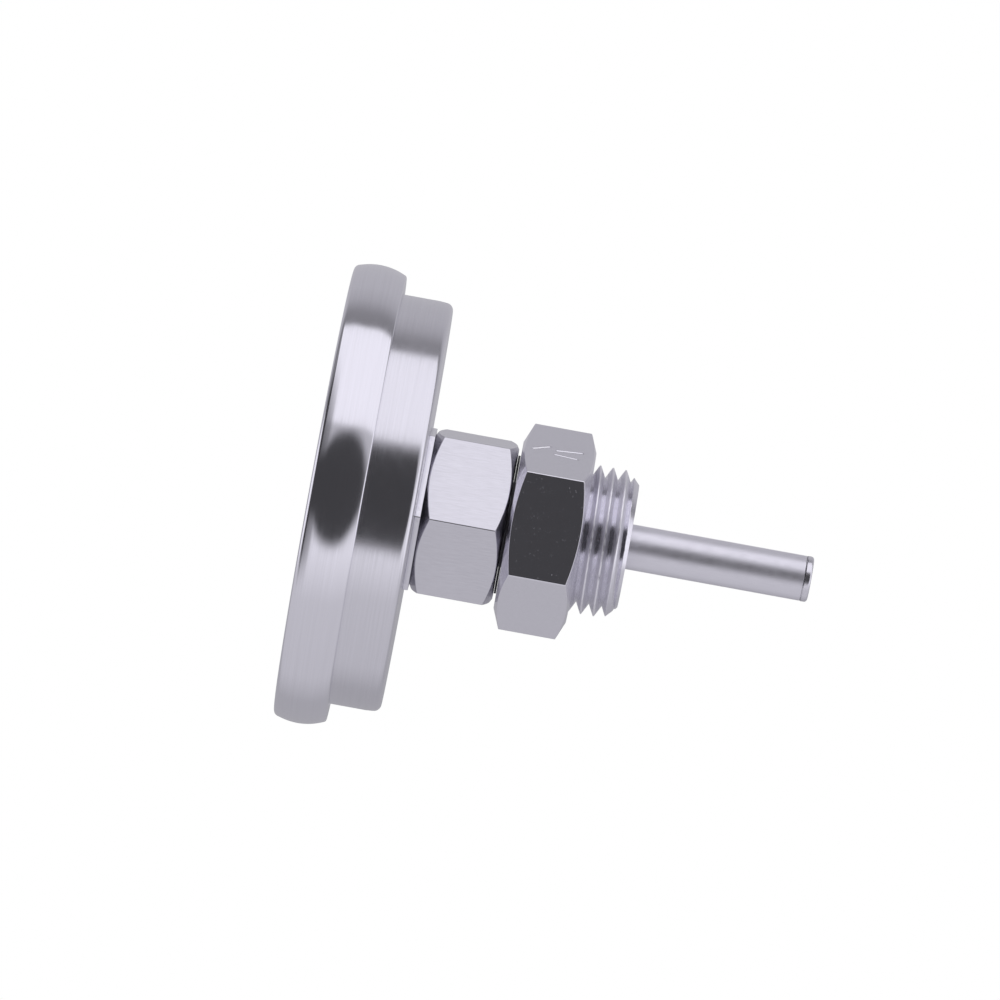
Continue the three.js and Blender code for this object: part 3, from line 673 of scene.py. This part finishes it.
def tangent_end(y, end):
    """Radius at which a straight line along the wall at y reaches the plane at end."""
    slope = (CROWN_Y - y) / math.sqrt(CROWN_R ** 2 - (y - CROWN_Y) ** 2)
    return crown_radius(y) + slope * (end - y)


def bezel():
    """A rim of thin sheet, rolled over the window in front and over the case's flange behind."""
    lip_r = CASE_R + 0.12 * MM
    lip_front = BEZEL_BACK - SHEET
    inner_r = BEZEL_R - BEZEL_WALL
    wall_front, wall_back = BEZEL_FRONT + 1.3 * MM, BEZEL_BACK - 0.6 * MM
    steps = 24
    wall = [wall_front + (wall_back - wall_front) * i / steps for i in range(steps + 1)]
    corners = [
        (WINDOW_OPENING_R, BEZEL_FRONT + 0.12 * MM, 0.25 * MM),
        (WINDOW_OPENING_R + 1.2 * MM, BEZEL_FRONT, 0.8 * MM),
        (tangent_end(wall_front, BEZEL_FRONT), BEZEL_FRONT, 0.9 * MM),
        *((crown_radius(y), y, 0) for y in wall),
        (tangent_end(wall_back, BEZEL_BACK), BEZEL_BACK, 0.35 * MM),
        (lip_r, BEZEL_BACK, 0.25 * MM),
        (lip_r, lip_front, 0.2 * MM),
        (inner_r - 1.0 * MM, lip_front, 0.3 * MM),
        (inner_r, lip_front - 1.2 * MM, 0.6 * MM),
        (inner_r, BEZEL_FRONT + SHEET, 0.3 * MM),
        (WINDOW_OPENING_R, BEZEL_FRONT + SHEET, 0.25 * MM),
    ]
    shell = spin("bezel_shell", corners, segments=256, steps=8)
    finished(shell, "bezel", "housing", "case_steel", "bezel_ring")


def case():
    """A drawn cup whose side draws in a little before its back corner."""
    flange_back = CASE_FLANGE + SHEET
    floor_front = CASE_BACK - SHEET
    hole_r = SPIGOT_R + CLEARANCE
    draw_in = 0.16 * MM
    mid_back_r = CASE_R * 0.6
    corners = [
        (FLANGE_R, CASE_FLANGE, 0.15 * MM),
        (FLANGE_R, flange_back, 0.15 * MM),
        (CASE_R, flange_back, 0.3 * MM),
        (CASE_R, CASE_BACK - 2.0 * MM, 0.06 * MM),
        (CASE_R - draw_in, CASE_BACK, 1.8 * MM),
        (mid_back_r, CASE_BACK, 0),
        (hole_r, CASE_BACK, 0.1 * MM),
        (hole_r, floor_front, 0.1 * MM),
        (CASE_INNER_R - draw_in, floor_front, 0.8 * MM),
        (CASE_INNER_R, CASE_FLANGE, 0.3 * MM),
    ]
    shell = spin("case_shell", corners, segments=256, steps=8)
    finished(shell, "case", "housing", "case_steel", "case_cup")


def window():
    """Glass, its gasket and the black seat ring behind it."""
    glass = spin("window_pane", rod_corners(GLASS_R, GLASS_FRONT, GLASS_BACK, 0.15 * MM), False, 192, 3)
    finished(glass, "glass", "housing", "window", "window_glass")
    gasket_inner_r = WINDOW_OPENING_R + 0.6 * MM
    gasket = spin("window_seal", ring_corners(gasket_inner_r, GLASS_R, GLASS_BACK, GASKET_BACK, 0.2 * MM))
    finished(gasket, "rubber", "housing", "seal_rubber", "window_gasket")
    edge = 0.1 * MM
    seat_corners = [
        (WINDOW_OPENING_R, GASKET_BACK, edge),
        (GLASS_R, GASKET_BACK, edge),
        (GLASS_R, CASE_FLANGE - 1.0 * MM, edge),
        (FLANGE_R, CASE_FLANGE, edge),
        (CASE_INNER_R, CASE_FLANGE, edge),
    ]
    seat = spin("seat_ring", seat_corners)
    finished(seat, "seat", "housing", "seat_black", "window_seat_ring")


# ------------------------------------------------------------------ dial and pointer


def on_dial(reading, r):
    """The place (x, z) on the dial of a reading at a radius."""
    angle = SCALE_SWEEP * (reading / SCALE_TOP - 0.5)
    return r * math.sin(angle), r * math.cos(angle)


SCALE_R = 25.2 * MM
NUMERAL_R = 18.6 * MM
NUMERAL_SIZE = 4.6 * MM
UNIT_HEIGHT = 9.5 * MM
UNIT_SIZE = 4.4 * MM
PRINT_THICKNESS = 0.02 * MM
LONG_TICK_EVERY = 20

# Ticks, longest first: degrees from one to the next, length and width
TICKS = ((LONG_TICK_EVERY, 3.4 * MM, 0.55 * MM), (10, 2.6 * MM, 0.4 * MM), (2, 1.5 * MM, 0.2 * MM))


def add_block(mesh, centre, out, width, length, front, back):
    """A thin block on the dial, centred at (x, z), its length along the direction out."""
    side = Vector((out[1], -out[0]))
    ring = []
    for a, b in ((-1, -1), (1, -1), (1, 1), (-1, 1)):
        x = centre[0] + side[0] * a * width / 2 + out[0] * b * length / 2
        z = centre[1] + side[1] * a * width / 2 + out[1] * b * length / 2
        ring.append((x, z))
    near = [mesh.verts.new((x, front, z)) for x, z in ring]
    far = [mesh.verts.new((x, back, z)) for x, z in ring]
    mesh.faces.new(near)
    mesh.faces.new(far[::-1])
    for i in range(4):
        j = (i + 1) % 4
        mesh.faces.new((near[i], far[i], far[j], near[j]))


def scale_marks():
    """The printed ticks, their outer ends on one circle."""
    mesh = bmesh.new()
    front, back = DIAL_FRONT - PRINT_THICKNESS, DIAL_FRONT + PRINT_THICKNESS
    for reading in range(0, SCALE_TOP + 1, TICKS[-1][0]):
        length, width = next(tick[1:] for tick in TICKS if reading % tick[0] == 0)
        x, z = on_dial(reading, SCALE_R - length / 2)
        out = Vector((x, z)).normalized()
        add_block(mesh, (x, z), out, width, length, front, back)
    bmesh.ops.recalc_face_normals(mesh, faces=mesh.faces)
    finished(object_from("dial_scale_marks", mesh), "print", "housing", "dial_white")


LETTER_SMOOTHNESS = 6


def lettering(name, text, place, size):
    """Generic figures printed on the dial, centred at (x, z)."""
    curve = bpy.data.curves.new(name, "FONT")
    curve.body = text
    curve.size = size
    curve.align_x = "CENTER"
    curve.align_y = "CENTER"
    curve.extrude = PRINT_THICKNESS
    curve.resolution_u = LETTER_SMOOTHNESS
    letters = bpy.data.objects.new(name + "_curve", curve)
    bpy.context.scene.collection.objects.link(letters)
    data = evaluated_mesh(letters)
    bpy.data.objects.remove(letters)
    data.transform(Matrix.Rotation(math.radians(90), 4, "X"))
    data.transform(Matrix.Translation((place[0], DIAL_FRONT, place[1])))
    piece = bpy.data.objects.new(name, data)
    bpy.context.scene.collection.objects.link(piece)
    finished(piece, "print", "housing", "dial_white")


def dial():
    """The white disc with its scale, and the stop pin."""
    corners = rod_corners(DIAL_R, DIAL_FRONT, DIAL_BACK, 0.12 * MM)
    disc = spin("dial_disc", corners, False, 192, 3)
    finished(disc, "dial", "housing", "dial_white", "dial_plate")
    scale_marks()
    for reading in range(0, SCALE_TOP + 1, LONG_TICK_EVERY):
        lettering(f"dial_figure_{reading}", str(reading), on_dial(reading, NUMERAL_R), NUMERAL_SIZE)
    lettering("dial_unit", "°C", (0, UNIT_HEIGHT), UNIT_SIZE)
    pin_r = 0.5 * MM
    pin_corners = [
        (0, PIN_FRONT, 0),
        (pin_r, PIN_FRONT, 0.2 * MM),
        (pin_r, DIAL_BACK, 0.05 * MM),
        (PIN_HEAD_R, DIAL_BACK, 0.05 * MM),
        (PIN_HEAD_R, PIN_BACK, 0.1 * MM),
        (0, PIN_BACK, 0),
    ]
    low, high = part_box("stop_pin")
    pin = spin("stop_peg", pin_corners, False, 48, 3, (0, (low.z + high.z) / 2))
    finished(pin, "brass", "housing", "brass", "stop_pin")


# Turn of each screw's slot from upright, in radians
SLOT_TURN = {"left": 0.5, "right": -0.9}
SLOT_WIDTH = 0.45 * MM
SLOT_DEPTH = 0.35 * MM
CUTTER_REACH = 1 * MM


def dial_screw(side):
    """A pan-head screw with a cut slot."""
    low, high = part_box("dial_screw_" + side)
    centre_x, head_r = (low.x + high.x) / 2, (high.x - low.x) / 2
    shank_r = 0.9 * MM
    corners = [
        (0, low.y, 0),
        (head_r, low.y, 0.45 * MM),
        (head_r, DIAL_FRONT, 0.06 * MM),
        (shank_r, DIAL_FRONT, 0.05 * MM),
        (shank_r, high.y, 0.2 * MM),
        (0, high.y, 0),
    ]
    screw = spin("screw_" + side, corners, False, 96, 4, (centre_x, 0))
    slot = bmesh.new()
    turn = SLOT_TURN[side]
    out = Vector((math.sin(turn), math.cos(turn)))
    add_block(slot, (centre_x, 0), out, SLOT_WIDTH, 4 * head_r, low.y - CUTTER_REACH, low.y + SLOT_DEPTH)
    bmesh.ops.recalc_face_normals(slot, faces=slot.faces)
    cutter = object_from("slot_cutter", slot)
    cut = screw.modifiers.new("slot", "BOOLEAN")
    cut.operation = "DIFFERENCE"
    cut.solver = "EXACT"
    cut.object = cutter
    slotted = evaluated_mesh(screw)
    screw.modifiers.clear()
    screw.data = slotted
    bpy.data.objects.remove(cutter)
    finished(screw, "fixing", "housing", "fixing_steel", "dial_screw_" + side)


def pointer():
    """The black hand, bevelled all round, and its brass hub."""
    length, tail = 21.5 * MM, 8.0 * MM
    eye_r, root_half, tip_half, tail_half = 2.6 * MM, 1.0 * MM, 0.3 * MM, 1.5 * MM
    tip, tail_cut = 1.0 * MM, 0.5 * MM
    outline = [(0, length), (tip_half, length - tip)]
    root = math.asin(root_half / eye_r)
    tail_root = math.pi - math.asin(tail_half / eye_r)
    steps = 14
    outline += [
        (eye_r * math.sin(a), eye_r * math.cos(a))
        for a in (root + (tail_root - root) * i / steps for i in range(steps + 1))
    ]
    outline += [(tail_half, -tail + tail_cut), (tail_half - tail_cut, -tail)]
    outline += [(-x, z) for x, z in reversed(outline[1:])]
    mesh = bmesh.new()
    face = mesh.faces.new([mesh.verts.new((x, POINTER_BACK, z)) for x, z in outline])
    raised = bmesh.ops.extrude_face_region(mesh, geom=[face])
    moved = [v for v in raised["geom"] if isinstance(v, bmesh.types.BMVert)]
    bmesh.ops.translate(mesh, verts=moved, vec=(0, POINTER_FRONT - POINTER_BACK, 0))
    rim = [e for e in mesh.edges if all(abs(v.co.y - POINTER_FRONT) < WELD_DISTANCE for v in e.verts)]
    bmesh.ops.bevel(mesh, geom=rim, offset=0.1 * MM, segments=3, affect="EDGES", profile=0.5)
    bmesh.ops.recalc_face_normals(mesh, faces=mesh.faces)
    resting = Matrix.Rotation(SCALE_SWEEP * (REST_READING / SCALE_TOP - 0.5), 4, "Y")
    mesh.transform(resting)
    finished(object_from("pointer_hand", mesh), "hand", "movement", "pointer_black", "pointer")
    boss_r, hub_r = 1.2 * MM, 2.0 * MM
    hub_corners = [
        (0, HUB_FRONT, 0),
        (boss_r, HUB_FRONT, 0.25 * MM),
        (boss_r, POINTER_BACK, 0.05 * MM),
        (hub_r, POINTER_BACK, 0.1 * MM),
        (hub_r, HUB_BACK, 0.1 * MM),
        (0, HUB_BACK, 0),
    ]
    finished(spin("hub_bush", hub_corners, False, 64, 4), "brass", "movement", "brass", "pointer_hub")


# ------------------------------------------------------------------ neck, union and stem

HEX_EDGE = 0.14 * MM
END_FACE_WIDTH = 1.0 * MM


def hex_rows(hex_r, front, back, front_end_r, back_end_r, slope):
    """One column of a chamfered hexagon's outline, with the outer part of both end faces."""
    front_corner = front + (hex_r - front_end_r) * slope
    back_corner = back - (hex_r - back_end_r) * slope
    corners = [
        (front_end_r - END_FACE_WIDTH, front, 0),
        (front_end_r, front, HEX_EDGE),
        (hex_r, front_corner, HEX_EDGE),
        (hex_r, back_corner, HEX_EDGE),
        (back_end_r, back, HEX_EDGE),
        (back_end_r - END_FACE_WIDTH, back, 0),
    ]
    return rounded(corners, False, CORNER_STEPS)


def neck():
    """The fixed hexagon with its two spigots, one to the case and one into the union."""
    flat_r, flat_angle = spanner_flat("neck_spanner_flat")
    shoulder = SWIVEL_FRONT - 0.05 * MM
    bore_r = STEM_R + CLEARANCE
    columns = []
    for angle in hex_angles(flat_r, flat_angle):
        hex_r = hex_radius(angle, flat_r, flat_angle)
        column = [
            (bore_r, NECK_FRONT),
            (SPIGOT_R - SPIGOT_CHAMFER, NECK_FRONT),
            (SPIGOT_R, NECK_FRONT + SPIGOT_CHAMFER),
            (SPIGOT_R, WASHER_BACK),
            *hex_rows(hex_r, WASHER_BACK, shoulder, NECK_END_R, NECK_END_R, NECK_CHAMFER_SLOPE),
            (REAR_SPIGOT_R, shoulder),
            (REAR_SPIGOT_R, NECK_END - SPIGOT_CHAMFER),
            (REAR_SPIGOT_R - SPIGOT_CHAMFER, NECK_END),
            (bore_r, NECK_END),
        ]
        columns.append((angle, column))
    piece = mesh_from_columns("neck_body", columns, True)
    finished(piece, "neck", "housing", "neck_steel", "neck_hex")


# A nick in one crest: its angle about +Y, its y from the sealing face, its size and its depth
NICK_ANGLE = math.radians(118)
NICK_Y = 3.36 * MM
NICK_SIZE = 0.3 * MM
NICK_DEPTH = 0.28 * MM


def nick_depth(angle, y):
    """The small dent that a knock left on one crest."""
    away = math.hypot((angle - NICK_ANGLE) * MAJOR_R, y - SHOULDER - NICK_Y) / NICK_SIZE
    return NICK_DEPTH * math.exp(-away * away)


def thread_radius(angle, y):
    """The thread's surface: a right-handed ridge on a plain core, with a nick and a chamfered end."""
    turns = (y - SHOULDER - FIRST_CREST) / PITCH - angle / TURN
    from_crest = abs((turns + 0.5) % 1 - 0.5) * PITCH
    r = MAJOR_R - max(from_crest - CREST_HALF, 0) / math.tan(FLANK)
    chamfer_start = THREAD_END - END_CHAMFER
    if y > chamfer_start:
        r = min(r, MAJOR_R + (END_R - MAJOR_R) * (y - chamfer_start) / END_CHAMFER)
    r -= nick_depth(angle, y)
    return max(min(r, MAJOR_R), min(MINOR_R, END_R))


def union():
    """The large hexagon and its pipe thread in one piece."""
    flat_r, flat_angle = spanner_flat("union_spanner_flat")
    bore_r, nose_bore_r = REAR_SPIGOT_R + 0.09 * MM, STEM_R + 0.15 * MM
    bore_chamfer = 0.3 * MM
    bore_end = SHOULDER + 4 * MM
    ends = (UNION_FRONT_END_R, UNION_BACK_END_R)
    rows = 150
    thread_rows = [SHOULDER + (THREAD_END - SHOULDER) * i / rows for i in range(rows + 1)]
    columns = []
    for angle in hex_angles(flat_r, flat_angle, 22):
        hex_r = hex_radius(angle, flat_r, flat_angle)
        column = [
            (bore_r, UNION_FRONT + bore_chamfer),
            (bore_r + bore_chamfer, UNION_FRONT),
            *hex_rows(hex_r, UNION_FRONT, SHOULDER, *ends, UNION_CHAMFER_SLOPE),
            *((thread_radius(angle, y), y) for y in thread_rows),
            (nose_bore_r + bore_chamfer, THREAD_END),
            (nose_bore_r, THREAD_END - bore_chamfer),
            (nose_bore_r, bore_end),
            (bore_r, bore_end),
        ]
        columns.append((angle, column))
    piece = mesh_from_columns("union_body", columns, True)
    finished(piece, "union", "union", "union_steel", "union_fitting")


def washers():
    """The thin hexagonal washer behind the case and the round one between the two hexagons."""
    flat_angle = spanner_flat("neck_spanner_flat")[1]
    flat_r = flat_radius_of(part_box("case_washer")[1], flat_angle)
    columns = []
    for angle in hex_angles(flat_r, flat_angle):
        hex_r = hex_radius(angle, flat_r, flat_angle)
        corners = ring_corners(SPIGOT_R + CLEARANCE, hex_r, WASHER_FRONT, WASHER_BACK, 0.1 * MM)
        columns.append((angle, rounded(corners, True, 3)))
    plate = mesh_from_columns("neck_washer", columns, True)
    finished(plate, "case", "housing", "neck_steel", "case_washer")
    thin = ring_corners(REAR_SPIGOT_R + CLEARANCE, SWIVEL_R, SWIVEL_FRONT, SWIVEL_BACK, 0.05 * MM)
    # The round washer takes the near-black PTFE finish, painted shade for the gap between the hexagons.
    finished(spin("glide_washer", thin), "ptfe", "housing", "ptfe", "swivel_washer")


def stem():
    """The probe: a drawn tube and the nose welded to its end, slightly swollen at the seam."""
    tube_end = STEM_WELD - 0.02 * MM
    tube_corners = [
        (STEM_INNER_R, STEM_FRONT, 0.05 * MM),
        (STEM_R, STEM_FRONT, 0.1 * MM),
        (STEM_R, STEM_WELD - 0.5 * MM, 0),
        (STEM_R, tube_end, 0.05 * MM),
        (STEM_INNER_R, tube_end, 0.05 * MM),
    ]
    tube = spin("probe_tube", tube_corners, segments=128)
    finished(tube, "stem", "housing", "stem_steel", "stem_tube")
    tenon_r = STEM_INNER_R - 0.06 * MM
    swollen_r = STEM_R + 0.04 * MM
    nose_corners = [
        (0, PLUG_FRONT, 0),
        (tenon_r, PLUG_FRONT, 0.2 * MM),
        (tenon_r, STEM_WELD, 0.02 * MM),
        (STEM_R - 0.04 * MM, STEM_WELD, 0.02 * MM),
        (swollen_r, STEM_WELD + 0.15 * MM, 0.1 * MM),
        (swollen_r, STEM_END - 0.08 * MM, 0.55 * MM),
        (0, STEM_END, 0),
    ]
    nose = spin("probe_nose", nose_corners, False, 128, 8)
    finished(nose, "nose", "housing", "stem_steel", "stem_tip_plug")


# Finish of each inner piece that keeps its CAD shape
CARRIED_OVER = {
    "fixing": ("case_lock_nut", "lock_washer", "union_snap_ring", "spindle"),
    "brass": (
        "dial_post_left", "dial_post_right", "upper_bearing_bush", "mid_guide_bush",
        "helix_collar", "helix_anchor",
    ),
    "rubber": ("union_o_ring",),
    "bimetal": ("bimetal_helix",),
}


def carried_over():
    """Gives the inner pieces their finishes."""
    for finish, names in CARRIED_OVER.items():
        for name in names:
            data = nodes[name].data
            data.materials.clear()
            data.materials.append(FINISHES[finish])


# ------------------------------------------------------------------ studio

# A direction is given by two angles in degrees. Up goes round the object's axis: 0 is the viewer's side and
# 90 overhead. Along runs from the dial's end at -90 to the stem's end at 90.

# Brightness of the grey walls by up
WALLS = (
    (-180, 0.40), (-128, 0.42), (-105, 0.56), (-55, 0.59), (-28, 0.82),
    (66, 0.3), (92, 0.2), (102, 0.25), (114, 0.42), (126, 0.48),
)
BACK_WALL = 0.50

# The bright panel overhead, with its soft edges
BRIGHT_PANEL = 0.97
BRIGHT_UP = (34, 92)
BRIGHT_ALONG = (-30, 80)
BRIGHT_SOFT_UP = 2.0
BRIGHT_SOFT_ALONG = 4.0

# The dark gap round the camera, an ellipse, and a dark flag beside the dial
DARK_GAP = 0.055
GAP_CENTRE_UP = 3
GAP_HALF_UP = 30
GAP_CENTRE_ALONG = 5
GAP_HALF_ALONG = 50
GAP_EDGE = (0.82, 1.1)
FLAG_UP = (-42, 66)
FLAG_ALONG = (-66, -30)
FLAG_SOFT_UP = 14.0
FLAG_SOFT_ALONG = 5.0

# The walls at both ends of the object
END_WALLS = 0.98
END_WALLS_START = (66, 76)

# How far the walls draw together towards the ends, so that their edges mirror straight in the crowned rim
WALL_CURVE = 0.005
WALL_CURVE_START = 15.0
STUDIO_TINT = (1.0, 0.985, 1.06, 1)


def studio_angles(n):
    """Up and along of a direction, with up drawn together towards the ends."""
    way = n.node("SeparateXYZ", [(0, n.node("TexCoord").outputs["Generated"])]).outputs
    along = n.math("MULTIPLY", n.math("ARCSINE", way["Y"]), 360 / TURN)
    steep = n.math("MULTIPLY", n.math("ARCTAN2", way["Z"], way["X"]), 360 / TURN)
    off_middle = n.math("SUBTRACT", n.length(along, WALL_CURVE_START), WALL_CURVE_START)
    draw_in = n.math("SUBTRACT", 1.0, n.math("MULTIPLY", off_middle, WALL_CURVE))
    return n.math("MULTIPLY", steep, draw_in), along


def wall_level(n, up):
    """Brightness of the grey walls. The last stop is set first, since new ones move it along."""
    walls = n.node("ValToRGB", [("Fac", n.math("ADD", n.math("DIVIDE", up, 360.0), 0.5))])
    stops = walls.color_ramp.elements
    stops[1].color = (BACK_WALL, BACK_WALL, BACK_WALL, 1)
    stops[0].color = (WALLS[0][1], WALLS[0][1], WALLS[0][1], 1)
    for degrees, level in WALLS[1:]:
        stops.new(degrees / 360 + 0.5).color = (level, level, level, 1)
    return walls.outputs[0]


def studio_level(n):
    """Brightness of the studio: grey walls, a bright panel above, a dark gap and bright ends."""
    up, along = studio_angles(n)
    bright_up = n.within(up, *BRIGHT_UP, BRIGHT_SOFT_UP)
    bright_along = n.within(along, *BRIGHT_ALONG, BRIGHT_SOFT_ALONG)
    level = n.blend(n.math("MULTIPLY", bright_up, bright_along), wall_level(n, up), BRIGHT_PANEL)
    across = n.math("DIVIDE", n.math("SUBTRACT", along, GAP_CENTRE_ALONG), GAP_HALF_ALONG)
    upward = n.math("DIVIDE", n.math("SUBTRACT", up, GAP_CENTRE_UP), GAP_HALF_UP)
    gap = n.ramp(n.length(across, upward), *GAP_EDGE, 1.0, 0.0, smooth=True)
    flag_up = n.within(up, *FLAG_UP, FLAG_SOFT_UP)
    flag_along = n.within(along, *FLAG_ALONG, FLAG_SOFT_ALONG)
    dark = n.math("MAXIMUM", gap, n.math("MULTIPLY", flag_up, flag_along))
    level = n.blend(dark, level, DARK_GAP)
    ends = n.ramp(n.math("ABSOLUTE", along), *END_WALLS_START, 0.0, 1.0, smooth=True)
    return n.blend(ends, level, END_WALLS)


def world_light():
    """The studio round the object. The camera sees plain white past the object."""
    world = bpy.data.worlds.new("studio")
    bpy.context.scene.world = world
    world.use_nodes = True
    world.node_tree.nodes.clear()
    n = Nodes(world.node_tree)
    level = studio_level(n)
    plain = n.node("CombineXYZ", [(0, level), (1, level), (2, level)]).outputs[0]
    tinted = n.mix_colour(1.0, plain, STUDIO_TINT, "MULTIPLY")
    studio = n.node("Background", [("Color", tinted), ("Strength", 1.0)])
    paper = n.node("Background", [("Color", (1, 1, 1, 1)), ("Strength", 1.0)])
    seen = n.node("LightPath").outputs["Is Camera Ray"]
    mixed = n.node("MixShader", [(0, seen), (1, studio.outputs[0]), (2, paper.outputs[0])])
    n.node("OutputWorld", [("Surface", mixed.outputs[0])])


def softbox(name, place, size, power):
    """Soft light aimed at the object. It falls on painted surfaces; the metal mirrors the studio alone."""
    lamp = bpy.data.lights.new(name, "AREA")
    lamp.shape = "SQUARE"
    lamp.size = size
    lamp.energy = power
    holder = bpy.data.objects.new(name, lamp)
    holder.location = place
    holder.rotation_euler = (-Vector(place)).to_track_quat("-Z", "Y").to_euler()
    holder.visible_glossy = False
    bpy.context.scene.collection.objects.link(holder)


def floor():
    """A plain pale floor far below the object, out of the camera's sight."""
    height, back, front, side = -0.45, -1.2, 0.12, 0.9
    mesh = bmesh.new()
    corners = ((back, -side), (front, -side), (front, side), (back, side))
    mesh.faces.new([mesh.verts.new((x, y, height)) for x, y in corners])
    data = bpy.data.meshes.new("floor")
    mesh.to_mesh(data)
    mesh.free()
    ground = bpy.data.objects.new("floor", data)
    bpy.context.scene.collection.objects.link(ground)
    data.materials.append(paint("pale_floor", (0.86, 0.86, 0.87), 0.7, 0.01 * MM, 0.01))
    ground.visible_glossy = False


# ------------------------------------------------------------------ camera

# Distance to the axis, width seen there, and the point looked at from the middle of the CAD box
VIEW_DISTANCE = 1.119
VIEW_WIDTH = 0.1399
VIEW_ROLL = math.radians(10.3)
LOOK_ALONG = -0.0095
LOOK_UP = 0.0032
SENSOR = 36


def camera():
    """A long lens square to the stem, rolled so that the stem runs down to the right."""
    low, high = cad_box
    middle = (low + high) / 2
    aim = Vector((0, middle.y + LOOK_ALONG, middle.z + LOOK_UP))
    lens = bpy.data.cameras.new("camera")
    lens.sensor_width = SENSOR
    lens.lens = SENSOR * VIEW_DISTANCE / VIEW_WIDTH
    lens.clip_start = 0.01
    lens.dof.use_dof = False
    right = Vector((0, math.cos(VIEW_ROLL), math.sin(VIEW_ROLL)))
    up = Vector((0, -math.sin(VIEW_ROLL), math.cos(VIEW_ROLL)))
    back = Vector((1, 0, 0))
    stand = Matrix((right, up, back)).transposed().to_4x4()
    stand.translation = aim + back * VIEW_DISTANCE
    holder = bpy.data.objects.new("camera", lens)
    holder.matrix_world = stand
    bpy.context.scene.collection.objects.link(holder)
    bpy.context.scene.camera = holder


# ------------------------------------------------------------------ the scene

camera()
bezel()
case()
window()
dial()
dial_screw("left")
dial_screw("right")
pointer()
washers()
neck()
union()
stem()
carried_over()
world_light()
softbox("overhead_softbox", place=(0.75, 0.15, 1.3), size=0.9, power=2)
softbox("dial_softbox", place=(-0.4, -1.3, 0.7), size=0.7, power=10)
floor()
bpy.context.scene.view_settings.view_transform = "Standard"
